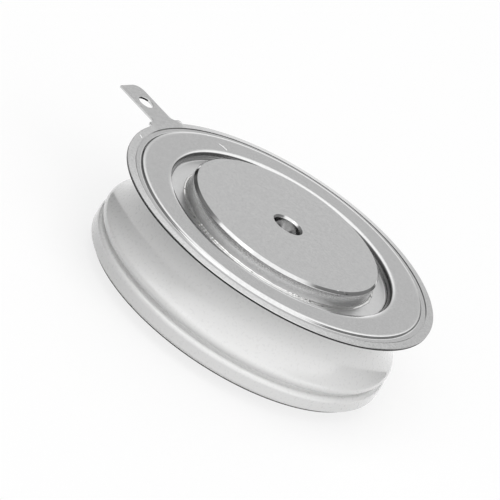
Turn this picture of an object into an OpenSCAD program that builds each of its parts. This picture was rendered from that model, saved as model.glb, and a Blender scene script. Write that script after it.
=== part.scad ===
// Disc-cell thyristor: a ribbed ceramic ring closed by two thin metal sheets,
// with a copper pole in each, and the silicon wafer and its gate contact inside.
// Z runs along the axis of the disc. Z = 0 is the contact face of the anode pole,
// the cathode pole is on top, and the auxiliary cathode tab points along -X.

/* [Cell] */
// Height over the two contact faces
cell_h = 14; // [13.7:0.1:18]
// Outer diameter of the rim
rim_d = 42; // [40.5:0.5:52]
// Height of the cathode contact face over the rim
cathode_stand = 1.3; // [0.8:0.1:1.6]
// Depth of the anode contact face below the closing sheet
anode_stand = 1.55; // [0.8:0.05:1.8]

/* [Poles] */
// Diameter of both poles where they show
pole_d = 25.4; // [21:0.1:26]
// Chamfer round each contact face
pole_chamfer = 0.32; // [0.1:0.02:0.6]
// Width of the shoulder that carries the closing sheet
shoulder_w = 1.0; // [0.6:0.1:1.4]
// Thickness of that shoulder
shoulder_h = 1.1; // [0.6:0.1:1.5]
// Thickness of the anode pole
anode_pole_h = 5.0; // [4.1:0.05:5.4]
// Diameter of the centring holes
centring_d = 3.5; // [2.5:0.1:4.2]
// Depth of the centring holes to the end of their straight wall
centring_depth = 1.8; // [1.2:0.1:2.0]
// Chamfer at the mouth of the centring holes
centring_chamfer = 0.25; // [0.1:0.05:0.5]

/* [Closing sheets] */
// Thickness of the cathode diaphragm
diaphragm_t = 0.2; // [0.15:0.01:0.3]
// Thickness of the anode diaphragm
anode_sheet_t = 0.2; // [0.15:0.01:0.3]
// Thickness of the cathode flange, which carries the tab
flange_t = 0.3; // [0.25:0.01:0.4]
// Width of the bare rim outside the diaphragm
rim_w = 1.0; // [0.6:0.1:1.4]
// Gap line between the rim and the diaphragm's edge
rim_gap = 0.12; // [0.06:0.01:0.2]
// Width of the weld band at the diaphragm's edge
weld_band_w = 0.5; // [0.4:0.02:0.7]
// Thickness of the diaphragm in the weld band, where it is coined thinner
weld_band_t = 0.1; // [0.06:0.01:0.14]
// Radius of the gentle roll with which the diaphragm falls off towards its weld band
shoulder_roll = 2.6; // [1.5:0.1:3]
// Slope that this roll has reached where the shoulder takes over
shoulder_slope = 12; // [6:1:14]
// Radius of the rounded shoulder between the roll and the weld band
shoulder_round = 0.18; // [0.12:0.01:0.25]
// Radius at the foot of that shoulder
shoulder_fillet = 0.3; // [0.2:0.01:0.35]
// Depth of the weld track that is pressed into the flange
weld_track = 0.16; // [0.08:0.01:0.18]
// Width of the annular recess round each pole
recess_w = 2.3; // [1.8:0.05:2.5]
// Depth of the recess, from the top of the sheet to its floor
recess_depth = 1.05; // [1.0:0.05:1.3]
// Radius of the rounded edge at the top of the recess wall
recess_round = 0.4; // [0.3:0.05:0.45]
// Radius of the gentle roll with which the sheet falls off towards that edge
recess_roll = 3.4; // [2:0.1:3.6]
// Slope that the roll has reached where the rounded edge takes over
recess_slope = 15; // [6:1:16]
// Radius at the foot of the recess wall
recess_fillet = 0.45; // [0.2:0.05:0.5]
// Thickness of the brazing alloy under each sheet
braze_t = 0.1; // [0.05:0.01:0.15]
// Distance from the ceramic's edge to the edge of the anode diaphragm
anode_sheet_inset = 0.45; // [0.3:0.05:0.8]

/* [Auxiliary cathode tab] */
// Length of the tab outside the rim
tab_len = 7.0; // [5:0.1:9]
// Width of the tab
tab_w = 3.75; // [3:0.05:5]
// Diameter of the hole in the tab
tab_hole_d = 2.0; // [1.2:0.1:2.2]
// Distance from the tab's end to the centre of its hole
tab_hole_inset = 3.2; // [2:0.1:3.6]
// Angle by which the tab is bent up
tab_bend = 3.3; // [0.5:0.1:8]
// Radius of the one rounded corner of the tab
tab_corner_r = 1.3; // [0.5:0.1:1.6]

/* [Ceramic] */
// Bore of the ceramic ring
ceramic_bore_d = 32; // [31.2:0.1:33]
// Thickness of the wall at the neck
neck_wall = 2.0; // [1.5:0.1:2.4]
// Distance from the rim's edge in to the lower rib
lower_rib_inset = 1.02; // [0.8:0.02:1.6]
// Distance from the rim's edge in to the upper rib
upper_rib_inset = 1.13; // [0.8:0.02:1.8]
// Height of the lower rib
lower_rib_h = 2.0; // [1.6:0.1:2.4]
// Height of the groove between the ribs
groove_h = 0.6; // [0.4:0.05:0.9]
// Depth of the groove between the ribs
groove_depth = 0.9; // [0.5:0.05:1.2]
// Radius of the upper rib's nose
upper_nose_r = 0.8; // [0.5:0.05:0.9]
// Radius of the hollow between the neck and the upper rib
flare_r = 5.4; // [4:0.1:6]

/* [Wafer stack] */
// Diameter of the silicon wafer and of the molybdenum disc under it
wafer_d = 26; // [21:0.1:26.4]
// Thickness of the wafer
wafer_t = 0.4; // [0.3:0.05:0.6]
// Thickness of the molybdenum disc under the wafer
anode_moly_t = 1.5; // [1:0.1:2]
// Thickness of the molybdenum disc on the wafer
cathode_moly_t = 0.6; // [0.4:0.1:1]
// Width of the wafer's free margin outside the disc on it
wafer_margin = 1.2; // [1.1:0.1:2]
// Thickness of the silver foils
foil_t = 0.1; // [0.05:0.01:0.15]
// Hole for the gate pin through the cathode disc and foil
gate_hole_d = 3.0; // [2:0.1:3.4]

/* [Gate contact] */
// Direction of the gate lead, seen from above, from +X
gate_azimuth = 150; // [90:1:160]
// Diameter of the bore in the cathode pole that holds the gate contact
gate_bore_d = 4.7; // [4.4:0.1:5.2]
// Copper left between that bore and the drilled tip of the centring hole
gate_web = 0.55; // [0.4:0.05:0.8]
// Diameter of the gate lead
lead_d = 0.5; // [0.3:0.05:0.6]
// Outer diameter of the sleeve on the lead
lead_sleeve_d = 1.1; // [0.9:0.05:1.35]
// Outer diameter of the tube through the ceramic
gate_tube_d = 1.8; // [1.6:0.1:2.2]
// Diameter of the gate terminal pin
terminal_d = 1.0; // [0.8:0.05:1.1]
// Reach of the terminal pin past the rim
terminal_reach = 3.5; // [2:0.1:5]
// Number of turns of the gate spring
spring_turns = 4; // [3:1:4]
// Wire of the gate spring
spring_wire_d = 0.28; // [0.2:0.02:0.3]

/* [Hidden] */
$fn = 96;

// Running clearance between loose inner pieces, and the gap left where two press together
clear = 0.05;
touch_gap = 0.01;
// Length by which a cutting tool runs past a face
cut = 0.5;

rim_r = rim_d / 2;
pole_r = pole_d / 2;
rim_z = cell_h - cathode_stand;
flange_z = rim_z - flange_t;
ceramic_top = flange_z - braze_t;
anode_sheet_z = anode_stand;
ceramic_bottom = anode_sheet_z + anode_sheet_t + braze_t;
ceramic_bore_r = ceramic_bore_d / 2;
neck_r = ceramic_bore_r + neck_wall;
lower_rib_r = rim_r - lower_rib_inset;
upper_rib_r = rim_r - upper_rib_inset;
anode_sheet_r = lower_rib_r - anode_sheet_inset;

// Weld track in the flange, and the diaphragm's edge that lies in it
track_out_r = rim_r - rim_w;
track_z = rim_z - weld_track;
band_r = track_out_r - rim_gap;
band_z = track_z + weld_band_t;
band_in_r = band_r - weld_band_w;
// Shoulder of the diaphragm. Roll, round and fillet touch one another, and the drop from the
// flat to the weld band sets the slope at which the round gives way to the fillet.
diaphragm_z = rim_z + diaphragm_t;
shoulder_radii = shoulder_round + shoulder_fillet;
round_drop = diaphragm_z - band_z - shoulder_roll * (1 - cos(shoulder_slope));
shoulder_steep = acos(
    (shoulder_round * cos(shoulder_slope) + shoulder_fillet - round_drop) / shoulder_radii
);
round_r = band_in_r - shoulder_radii * sin(shoulder_steep);
flat_end_r = round_r - (shoulder_roll - shoulder_round) * sin(shoulder_slope);
jog_r = round_r - diaphragm_t / 4;
track_in_r = jog_r - 4 * clear;

// Recess in each sheet: its wall, the centre of its rounded edge below the sheet's face,
// and where the roll runs out into the flat
recess_r = pole_r + recess_w;
recess_edge_r = recess_r + recess_round;
recess_edge_drop = recess_roll - (recess_roll - recess_round) * cos(recess_slope);
roll_end_r = recess_edge_r + (recess_roll - recess_round) * sin(recess_slope);
flange_bore_r = max(ceramic_bore_r, roll_end_r + clear);
ceramic_edge = 0.2;
seam_bore_r = max(ceramic_bore_r + ceramic_edge, flange_bore_r);
recess_foot_r = min(recess_fillet, recess_depth - recess_edge_drop - clear);

// Seats of the sheets on the poles
cathode_seat = rim_z - recess_depth;
anode_seat = anode_sheet_z + recess_depth + anode_sheet_t;

// Heights of the wafer stack, from the anode up
anode_foil_z = anode_pole_h;
anode_moly_z = anode_foil_z + foil_t;
wafer_z = anode_moly_z + anode_moly_t;
cathode_moly_z = wafer_z + wafer_t;
cathode_foil_z = cathode_moly_z + cathode_moly_t;
cathode_face_z = cathode_foil_z + foil_t;
wafer_r = wafer_d / 2;
cathode_moly_r = wafer_r - wafer_margin;
gate_hole_r = gate_hole_d / 2;

// Slope of the wafer's edge, and the thickness and overlap of its coating
wafer_bevel_w = 0.5;
wafer_rim_h = 0.15;
coating_lap = 0.4;
coating_t = 0.55;
coating_round = 0.15;
coating_h = 0.25;
// Inner ends of the poles
spigot_step = 0.1;
anode_spigot_r = wafer_r - spigot_step;
cathode_spigot_r = cathode_moly_r + spigot_step;
// Lead of the gate contact
lead_rise = lead_sleeve_d / 2 + 2 * clear;
lead_z = cathode_face_z + lead_rise;
gate_tube_r = gate_tube_d / 2;
// Locating ring, which stands on the anode pole's shoulder and stays clear of the tube
locating_ledge = 0.6;
locating_fit = 0.15;
pocket_gap = 0.3;
locating_bore_r = wafer_r + 2 * clear;
locating_pocket_r = wafer_r + coating_t + pocket_gap;
locating_ring_r = ceramic_bore_r - locating_fit;
locating_top = min(cathode_moly_z + coating_h, lead_z - gate_tube_r - 2 * clear);
shoulder_r = max(pole_r + shoulder_w, locating_bore_r + locating_ledge);

// A drill leaves a cone of this half angle at the end of a hole
drill_half_angle = 59;
drill_cone_h = centring_d / 2 / tan(drill_half_angle);

// Gate contact
gate_bore_r = gate_bore_d / 2;
gate_bore_top = cell_h - centring_depth - drill_cone_h - gate_web;
gate_cup_wall = 0.5;
gate_cup_r = gate_bore_r - clear;
gate_cup_bore_r = gate_cup_r - gate_cup_wall;
gate_cup_z = cathode_face_z + clear;
cup_roof_t = 0.4;
retainer_h = 0.25;
lead_slot_w = lead_sleeve_d + 4 * clear;
lead_slot_h = lead_rise + lead_slot_w / 2;
pin_head_margin = 0.02;
pin_head_h = lead_d + 2 * pin_head_margin;
pin_head_z = lead_z - pin_head_h / 2;
pin_head_r = gate_cup_bore_r - 4 * clear;
pin_tip_r = 0.5;
pin_guide_r = 0.65;
pin_guide_share = 0.7;
spring_z = pin_head_z + pin_head_h;
spring_top = gate_bore_top - cup_roof_t;

// Gate spring: closed end turns, and open turns between them
spring_mean_r = pin_head_r - spring_wire_d;
spring_sides = 8;
spring_steps = 20;
spring_rise = spring_top - spring_z - spring_wire_d - 2 * touch_gap;
closed_pitch = spring_wire_d + touch_gap;
open_pitch = (spring_rise - 2 * closed_pitch) / (spring_turns - 2);

// Feed-through: how far the tube stands inside the bore, and how far its outer end
// stays behind the rim; the spot face that seats its brazing collar on the ceramic
gate_tube_inset = 0.3;
gate_tube_setback = 0.5;
gate_tube_bore_r = terminal_d / 2 + clear;
gate_tube_start = ceramic_bore_r - gate_tube_inset;
gate_tube_end = rim_r - gate_tube_setback;
spot_face_margin = 0.9;
spot_face_depth = 0.3;
spot_face_r = gate_tube_r + spot_face_margin;
spot_face_x = neck_r - spot_face_depth;
tube_collar_t = 0.4;
lead_socket = 0.8;
terminal_plug = 1.9;
terminal_start = gate_tube_end - terminal_plug;
terminal_collar_t = 0.5;
terminal_tip_chamfer = 0.15;

// Bead of brazing alloy at the foot of a pole: the radius and height of its arched top,
// and the number of flats that the arch is turned with
braze_bead_r = 0.3;
braze_bead_h = 0.12;
braze_bead_flats = 6;

// Small radii and edge breaks of the ceramic
lower_rib_edge = 0.3;
lower_rib_round = 0.6;
// Height of the upper nose's centre over the rib's lower edge
upper_nose_lift = 0.52;

// Tab: the foot that blends it into the rim
tab_foot_out = 0.4;
tab_foot_side = 1.35;
tab_foot_w = tab_w + 2 * tab_foot_side;
tab_foot_r = 0.4;
tab_fillet = 0.7;
tab_root = 1.0;
bend_x = rim_r + tab_foot_out + tab_fillet / 2;

// Turns a piece drawn along +X to the direction of the gate lead.
module toward_gate() {
    rotate([0, 0, gate_azimuth]) children();
}

// A rod along +X from x0 to x1 at the height of the lead.
module radial_rod(r, x0, x1) {
    translate([x0, 0, lead_z]) rotate([0, 90, 0]) cylinder(r = r, h = x1 - x0);
}

// One quarter of a ring in the plane of a section.
module quarter_ring(centre, outer, inner, sx, sy) {
    translate(centre) intersection() {
        difference() {
            circle(r = outer);
            circle(r = inner);
        }
        translate([sx > 0 ? 0 : -outer, sy > 0 ? 0 : -outer]) square(outer);
    }
}

// A rectangle given by two opposite corners.
module box_section(low, high) {
    polygon([low, [high[0], low[1]], high, [low[0], high[1]]]);
}

// All that lies under the roll and the rounded edge of a recess, a depth below its outer face.
// Roll and rounded edge meet on the line through both their centres.
module under_edge(depth) {
    hub = [recess_edge_r, -recess_edge_drop];
    tip = hub + 2 * recess_round * [-sin(recess_slope), cos(recess_slope)];
    intersection() {
        translate([roll_end_r, -recess_roll]) circle(r = recess_roll - depth);
        polygon([hub, tip, [roll_end_r, tip[1]], [roll_end_r, hub[1]]]);
    }
    intersection() {
        translate(hub) circle(r = recess_round - depth);
        polygon([hub, tip, [recess_r - cut, tip[1]], [recess_r - cut, hub[1]]]);
    }
}

// Section of the dished part of a closing sheet, with the sheet's outer face at Y = 0
// and its recess going down: flat outside, gentle roll, rounded edge, wall, fillet and floor.
module dish_section(t, outer_r) {
    foot = [recess_r - recess_foot_r, recess_foot_r - recess_depth];
    box_section([roll_end_r, -t], [outer_r, 0]);
    difference() {
        under_edge(0);
        under_edge(t);
    }
    box_section([recess_r, foot[1]], [recess_r + t, -recess_edge_drop]);
    quarter_ring(foot, recess_foot_r + t, recess_foot_r, 1, -1);
    box_section([pole_r + clear, -recess_depth - t], [foot[0], -recess_depth]);
}

// Copper pole standing on its inner face at Z = 0, its contact face up.
module pole(h, seat, spigot_r) {
    drill_r = centring_d / 2;
    mouth_r = drill_r + centring_chamfer;
    difference() {
        rotate_extrude() {
            difference() {
                union() {
                    box_section([0, 0], [spigot_r, seat]);
                    box_section([0, seat - shoulder_h], [shoulder_r, seat]);
                    box_section([0, seat - shoulder_h], [pole_r, h]);
                }
                polygon([
                    [pole_r - pole_chamfer, h],
                    [pole_r + pole_chamfer, h - 2 * pole_chamfer],
                    [pole_r + pole_chamfer, h + cut]
                ]);
            }
        }
        translate([0, 0, h - centring_depth]) cylinder(r = drill_r, h = centring_depth + cut);
        translate([0, 0, h - centring_depth - drill_cone_h])
            cylinder(r1 = 0, r2 = drill_r, h = drill_cone_h);
        translate([0, 0, h - centring_chamfer])
            cylinder(r1 = drill_r, r2 = mouth_r + cut, h = centring_chamfer + cut);
    }
}

// Bead of brazing alloy at the foot of a pole, on a floor at Z = 0.
module pole_braze() {
    centre_h = braze_bead_h - braze_bead_r;
    half_angle = acos(-centre_h / braze_bead_r);
    bead_w = braze_bead_r * sin(half_angle);
    rotate_extrude() polygon([
        for (i = [0 : braze_bead_flats])
            let (a = half_angle * (2 * i / braze_bead_flats - 1))
                [pole_r + bead_w + braze_bead_r * sin(a), centre_h + braze_bead_r * cos(a)]
    ]);
}

// Flat washer standing on Z = 0.
module washer(outer_r, inner_r, h) {
    difference() {
        cylinder(r = outer_r, h = h);
        translate([0, 0, -cut]) cylinder(r = inner_r, h = h + 2 * cut);
    }
}

// Section of the ceramic: bore, neck, hollow flare, upper rib, groove and lower rib.
module ceramic_section() {
    groove_z = ceramic_bottom + lower_rib_h;
    upper_z = groove_z + groove_h;
    nose_x = upper_rib_r - upper_nose_r;
    nose_z = upper_z + upper_nose_lift;
    // The flare touches the nose: its centre lies where both radii meet in one line.
    flare_x = neck_r + flare_r;
    flare_z = nose_z + sqrt(pow(flare_r + upper_nose_r, 2) - pow(flare_x - nose_x, 2));
    touch = upper_nose_r / (upper_nose_r + flare_r);
    touch_x = nose_x + touch * (flare_x - nose_x);
    touch_z = nose_z + touch * (flare_z - nose_z);
    groove_r = groove_h / 2;
    groove_x = upper_rib_r - groove_depth + groove_r;

    difference() {
        union() {
            // wall at the bore, up to the seat of the flange
            box_section([ceramic_bore_r, ceramic_bottom], [neck_r, ceramic_top]);
            // hollow flare, cut out of the corner between the neck and the touching point
            difference() {
                polygon([
                    [neck_r, upper_z], [nose_x, upper_z], [nose_x, nose_z],
                    [touch_x, touch_z], [neck_r, flare_z]
                ]);
                translate([flare_x, flare_z]) circle(r = flare_r);
            }
            // upper rib, from the touching point down to its lower edge
            intersection() {
                translate([nose_x, nose_z]) circle(r = upper_nose_r);
                polygon([
                    [nose_x, upper_z], [upper_rib_r + cut, upper_z], [upper_rib_r + cut, touch_z],
                    [touch_x, touch_z], [nose_x, nose_z]
                ]);
            }
            // back wall of the groove
            box_section([neck_r, groove_z - lower_rib_round], [groove_x, upper_z]);
            // lower rib with its rounded corners
            box_section([neck_r, ceramic_bottom], [lower_rib_r - lower_rib_round, groove_z]);
            box_section(
                [neck_r, ceramic_bottom + lower_rib_edge],
                [lower_rib_r, groove_z - lower_rib_round]
            );
            box_section(
                [neck_r, ceramic_bottom],
                [lower_rib_r - lower_rib_edge, ceramic_bottom + lower_rib_edge]
            );
            quarter_ring(
                [lower_rib_r - lower_rib_round, groove_z - lower_rib_round], lower_rib_round, 0, 1, 1
            );
            quarter_ring(
                [lower_rib_r - lower_rib_edge, ceramic_bottom + lower_rib_edge], lower_rib_edge, 0, 1, -1
            );
        }
        // round bottom of the groove
        translate([groove_x, groove_z + groove_r]) circle(r = groove_r);
        // broken edges of the bore
        polygon([
            [ceramic_bore_r - cut, ceramic_top + cut],
            [ceramic_bore_r - cut, ceramic_top - ceramic_edge - cut],
            [ceramic_bore_r + ceramic_edge + cut, ceramic_top + cut]
        ]);
        polygon([
            [ceramic_bore_r - cut, ceramic_bottom - cut],
            [ceramic_bore_r - cut, ceramic_bottom + ceramic_edge + cut],
            [ceramic_bore_r + ceramic_edge + cut, ceramic_bottom - cut]
        ]);
    }
}

module ceramic_ring() {
    color("white") difference() {
        rotate_extrude() ceramic_section();
        toward_gate() {
            radial_rod(gate_tube_r + clear, ceramic_bore_r - cut, rim_r);
            radial_rod(spot_face_r, spot_face_x, rim_r);
        }
    }
}

// Outline of the tab and its foot, seen from above, along +X.
module tab_outline() {
    tip = rim_r + tab_len;
    foot = rim_r + tab_foot_out;
    half = tab_w / 2;
    root = rim_r - tab_root / 2;
    difference() {
        box_section([root, -half], [tip, half]);
        difference() {
            box_section([tip - tab_corner_r, -half - cut], [tip + cut, -half + tab_corner_r]);
            translate([tip - tab_corner_r, -half + tab_corner_r]) circle(r = tab_corner_r);
        }
    }
    box_section([root, tab_foot_r - tab_foot_w / 2], [foot, tab_foot_w / 2 - tab_foot_r]);
    box_section([root, -tab_foot_w / 2], [foot - tab_foot_r, tab_foot_w / 2]);
    for (side = [-1, 1]) {
        translate([foot - tab_foot_r, side * (tab_foot_w / 2 - tab_foot_r)]) circle(r = tab_foot_r);
        difference() {
            translate([foot - tab_fillet / 2, side * (half + tab_fillet / 2)])
                square([3 * tab_fillet, tab_fillet], center = true);
            translate([foot + tab_fillet, side * (half + tab_fillet)]) circle(r = tab_fillet);
        }
    }
}

// The tab in its bent form: the outline from above cut out of the bent strip seen from the side.
module tab() {
    root = rim_r - tab_root / 2;
    reach = tab_len + cut;
    rise = (rim_r + reach - bend_x) * tan(tab_bend);
    intersection() {
        translate([0, 0, flange_z - cut]) linear_extrude(flange_t + 2 * cut + rise) tab_outline();
        translate([0, tab_foot_w, 0]) rotate([90, 0, 0]) linear_extrude(2 * tab_foot_w) polygon([
            [root - cut, flange_z], [bend_x, flange_z], [rim_r + reach, flange_z + rise],
            [rim_r + reach, rim_z + rise], [bend_x, rim_z], [root - cut, rim_z]
        ]);
    }
}

module cathode_flange() {
    hole_x = rim_r + tab_len - tab_hole_inset;
    hole_z = rim_z + (hole_x - bend_x) * tan(tab_bend);
    color("lightgray") difference() {
        union() {
            rotate_extrude() difference() {
                box_section([flange_bore_r, flange_z], [rim_r, rim_z]);
                box_section([track_in_r, track_z], [track_out_r, rim_z + cut]);
            }
            rotate([0, 0, 180]) difference() {
                tab();
                translate([0, 0, flange_z - cut])
                    cylinder(r = rim_r - tab_root / 4, h = flange_t + 2 * cut);
            }
        }
        rotate([0, 0, 180]) translate([hole_x, 0, hole_z]) rotate([0, -tab_bend, 0])
            translate([0, 0, -flange_t - cut]) cylinder(d = tab_hole_d, h = flange_t + 2 * cut);
    }
}

// Section of the shoulder: a gentle roll off the diaphragm's flat, the round that turns down
// from it, and the fillet that runs out into the weld band. Neighbours meet on shared lines.
module shoulder_section() {
    hub = [
        round_r, diaphragm_z - shoulder_roll + (shoulder_roll - shoulder_round) * cos(shoulder_slope)
    ];
    tip = hub + 2 * shoulder_round * [sin(shoulder_slope), cos(shoulder_slope)];
    touch = hub + shoulder_round * [sin(shoulder_steep), cos(shoulder_steep)];
    intersection() {
        translate([flat_end_r, diaphragm_z - shoulder_roll]) circle(r = shoulder_roll);
        polygon([
            [flat_end_r, rim_z], [jog_r, rim_z], [jog_r, track_z], [round_r, track_z],
            hub, tip, [flat_end_r, tip[1]]
        ]);
    }
    intersection() {
        translate(hub) circle(r = shoulder_round);
        polygon([hub, touch, [touch[0], tip[1]], tip]);
    }
    difference() {
        polygon([[round_r, track_z], [band_in_r, track_z], [band_in_r, band_z], touch, hub]);
        translate([band_in_r, band_z + shoulder_fillet]) circle(r = shoulder_fillet);
    }
}

module cathode_diaphragm() {
    color("silver") rotate_extrude() {
        translate([0, diaphragm_z]) dish_section(diaphragm_t, flat_end_r);
        shoulder_section();
        box_section([band_in_r, track_z], [band_r, band_z]);
    }
}

module cathode_pole() {
    color("gainsboro") difference() {
        translate([0, 0, cathode_face_z])
            pole(cell_h - cathode_face_z, cathode_seat - cathode_face_z, cathode_spigot_r);
        translate([0, 0, cathode_face_z - cut])
            cylinder(r = gate_bore_r, h = gate_bore_top - cathode_face_z + cut);
        toward_gate() translate([0, -lead_slot_w / 2, cathode_face_z - cut])
            cube([shoulder_r + cut, lead_slot_w, lead_slot_h + cut]);
    }
}

module cathode_pole_braze() {
    color("whitesmoke") translate([0, 0, cathode_seat + diaphragm_t]) pole_braze();
}

module flange_braze() {
    color("khaki") translate([0, 0, ceramic_top])
        washer(neck_r - clear, seam_bore_r, braze_t);
}

module anode_diaphragm() {
    color("silver") translate([0, 0, anode_sheet_z]) mirror([0, 0, 1])
        rotate_extrude() dish_section(anode_sheet_t, anode_sheet_r);
}

module anode_pole() {
    color("gainsboro") translate([0, 0, anode_pole_h]) mirror([0, 0, 1])
        pole(anode_pole_h, anode_pole_h - anode_seat, anode_spigot_r);
}

module anode_pole_braze() {
    color("whitesmoke") translate([0, 0, anode_seat - anode_sheet_t]) mirror([0, 0, 1]) pole_braze();
}

module anode_seal_braze() {
    color("khaki") translate([0, 0, anode_sheet_z + anode_sheet_t])
        washer(lower_rib_r - lower_rib_edge - clear, seam_bore_r, braze_t);
}

module anode_foil() {
    color("white") translate([0, 0, anode_foil_z])
        cylinder(r = anode_spigot_r - 2 * clear, h = foil_t);
}

module anode_moly_disc() {
    color("dimgray") translate([0, 0, anode_moly_z]) cylinder(r = wafer_r, h = anode_moly_t);
}

// The wafer's edge is ground to a slope, so that its upper face is the smaller one.
module silicon_wafer() {
    color("slategray") translate([0, 0, wafer_z]) {
        rotate_extrude() polygon([
            [0, 0], [wafer_r, 0], [wafer_r, wafer_rim_h], [wafer_r - wafer_bevel_w, wafer_t], [0, wafer_t]
        ]);
    }
}

// Silicone coating that wraps the wafer's edge, from the disc below to the wafer's upper face.
module wafer_edge_coating() {
    color("firebrick") translate([0, 0, wafer_z]) rotate_extrude() polygon([
        [wafer_r, -coating_lap],
        [wafer_r + coating_t - coating_round, -coating_lap + coating_round],
        [wafer_r + coating_t, wafer_rim_h],
        [wafer_r + coating_round, wafer_t + coating_h - clear],
        [wafer_r - wafer_bevel_w - coating_lap, wafer_t + coating_h],
        [wafer_r - wafer_bevel_w - coating_lap, wafer_t],
        [wafer_r - wafer_bevel_w, wafer_t], [wafer_r, wafer_rim_h]
    ]);
}

module cathode_moly_disc() {
    color("dimgray") translate([0, 0, cathode_moly_z])
        washer(cathode_moly_r, gate_hole_r, cathode_moly_t);
}

module cathode_foil() {
    color("white") translate([0, 0, cathode_foil_z]) washer(cathode_moly_r, gate_hole_r, foil_t);
}

// Ring that centres the wafer stack in the ceramic and stands on the anode pole's shoulder.
module locating_ring() {
    ring_z = anode_seat + shoulder_h;
    pocket_z = wafer_z - coating_lap - 2 * clear;
    color("linen") difference() {
        translate([0, 0, ring_z]) cylinder(r = locating_ring_r, h = locating_top - ring_z);
        translate([0, 0, ring_z - cut]) cylinder(r = locating_bore_r, h = locating_top);
        translate([0, 0, pocket_z]) cylinder(r = locating_pocket_r, h = locating_top);
    }
}

// Insulating cup in the pole's bore, with a side slot for the lead.
module gate_cup() {
    color("ivory") difference() {
        translate([0, 0, gate_cup_z]) cylinder(r = gate_cup_r, h = gate_bore_top - gate_cup_z);
        translate([0, 0, gate_cup_z - cut])
            cylinder(r = gate_cup_bore_r, h = spring_top - gate_cup_z + cut);
        toward_gate() translate([0, -lead_slot_w / 2, gate_cup_z - cut])
            cube([gate_cup_r + cut, lead_slot_w, lead_z - gate_cup_z + lead_slot_w / 2 + cut]);
    }
}

// Height of the wire's centre line over its start, after x turns.
function wire_rise(x) =
    x < 1 ? x * closed_pitch
    : x > spring_turns - 1 ? spring_rise - (spring_turns - x) * closed_pitch
    : closed_pitch + (x - 1) * open_pitch;

// Ring of points round the wire after x turns.
function wire_ring(x, wire_r) = [
    for (k = [0 : spring_sides - 1])
        let (a = k * 360 / spring_sides, d = spring_mean_r + wire_r * cos(a))
            [d * cos(360 * x), d * sin(360 * x), wire_rise(x) + wire_r * sin(a)]
];

// Coil spring that presses the gate pin on the wafer.
module gate_spring() {
    wire_r = spring_wire_d / 2;
    rings = spring_turns * spring_steps;
    points = [for (i = [0 : rings]) each wire_ring(i / spring_steps, wire_r)];
    walls = [
        for (i = [0 : rings - 1]) for (k = [0 : spring_sides - 1])
            let (a = i * spring_sides + k, b = i * spring_sides + (k + 1) % spring_sides)
                [a, a + spring_sides, b + spring_sides, b]
    ];
    start = [for (k = [0 : spring_sides - 1]) k];
    end = [for (k = [spring_sides - 1 : -1 : 0]) rings * spring_sides + k];
    color("goldenrod") translate([0, 0, spring_z + wire_r + touch_gap])
        polyhedron(points, concat([start], walls, [end]), convexity = 2 * spring_turns);
}

// Gate pin: the tip stands on the wafer, the head takes the lead and the guide centres the spring.
module gate_pin() {
    color("gold") {
        translate([0, 0, cathode_moly_z])
            cylinder(r = pin_tip_r, h = pin_head_z - cathode_moly_z + clear);
        translate([0, 0, pin_head_z]) cylinder(r = pin_head_r, h = pin_head_h);
        translate([0, 0, spring_z - clear])
            cylinder(r = pin_guide_r, h = pin_guide_share * (spring_top - spring_z));
    }
}

// Insulating washer that keeps the pin's head in the cup.
module gate_retainer() {
    color("ivory") translate([0, 0, gate_cup_z])
        washer(gate_cup_bore_r - clear / 2, pin_tip_r + 2 * clear, retainer_h);
}

module gate_lead() {
    color("silver") toward_gate() radial_rod(lead_d / 2, pin_head_r, terminal_start + lead_socket);
}

module gate_lead_sleeve() {
    color("white") toward_gate() difference() {
        radial_rod(lead_sleeve_d / 2, gate_cup_r + clear, gate_tube_start - clear);
        radial_rod(lead_d / 2, 0, gate_tube_end);
    }
}

// Tube brazed through the wall of the ceramic.
module gate_tube() {
    color("lightgray") toward_gate() difference() {
        radial_rod(gate_tube_r, gate_tube_start, gate_tube_end);
        radial_rod(gate_tube_bore_r, gate_tube_start - cut, gate_tube_end + cut);
    }
}

module gate_tube_braze() {
    color("khaki") toward_gate() difference() {
        radial_rod(spot_face_r - clear, spot_face_x, spot_face_x + tube_collar_t);
        radial_rod(gate_tube_r, spot_face_x - cut, spot_face_x + tube_collar_t + cut);
    }
}

// Terminal pin: it closes the tube with its collar and holds the end of the lead in a socket.
module gate_terminal() {
    tip_x = rim_r + terminal_reach;
    tip_r = terminal_d / 2;
    color("gainsboro") toward_gate() difference() {
        union() {
            radial_rod(tip_r, terminal_start, tip_x - terminal_tip_chamfer);
            radial_rod(gate_tube_r, gate_tube_end, gate_tube_end + terminal_collar_t);
            translate([tip_x - terminal_tip_chamfer, 0, lead_z]) rotate([0, 90, 0])
                cylinder(r1 = tip_r, r2 = tip_r - terminal_tip_chamfer, h = terminal_tip_chamfer);
        }
        radial_rod(lead_d / 2, terminal_start - cut, terminal_start + lead_socket);
    }
}

ceramic_ring();
cathode_flange();
cathode_diaphragm();
cathode_pole();
cathode_pole_braze();
flange_braze();
anode_diaphragm();
anode_pole();
anode_pole_braze();
anode_seal_braze();
anode_foil();
anode_moly_disc();
silicon_wafer();
wafer_edge_coating();
cathode_moly_disc();
cathode_foil();
locating_ring();
gate_cup();
gate_spring();
gate_pin();
gate_retainer();
gate_lead();
gate_lead_sleeve();
gate_tube();
gate_tube_braze();
gate_terminal();
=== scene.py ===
"""Disc-cell thyristor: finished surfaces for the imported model, with its studio and camera.

The pieces that show are turned, cut and pressed again here, with the edge breaks, weld band
and wetted braze of the real cell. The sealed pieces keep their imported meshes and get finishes.
Sizes are in millimetres until a piece is finished, when its mesh is brought to metres.
"""

import logging
import math
import random
from collections.abc import Callable
from dataclasses import dataclass, field, replace
from enum import Enum
from functools import cache

import bmesh
import bpy
from bmesh.types import BMesh, BMFace, BMVert
from bpy.types import Material, Node, NodeSocket, NodeTree, Object
from mathutils import Matrix, Vector


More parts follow.
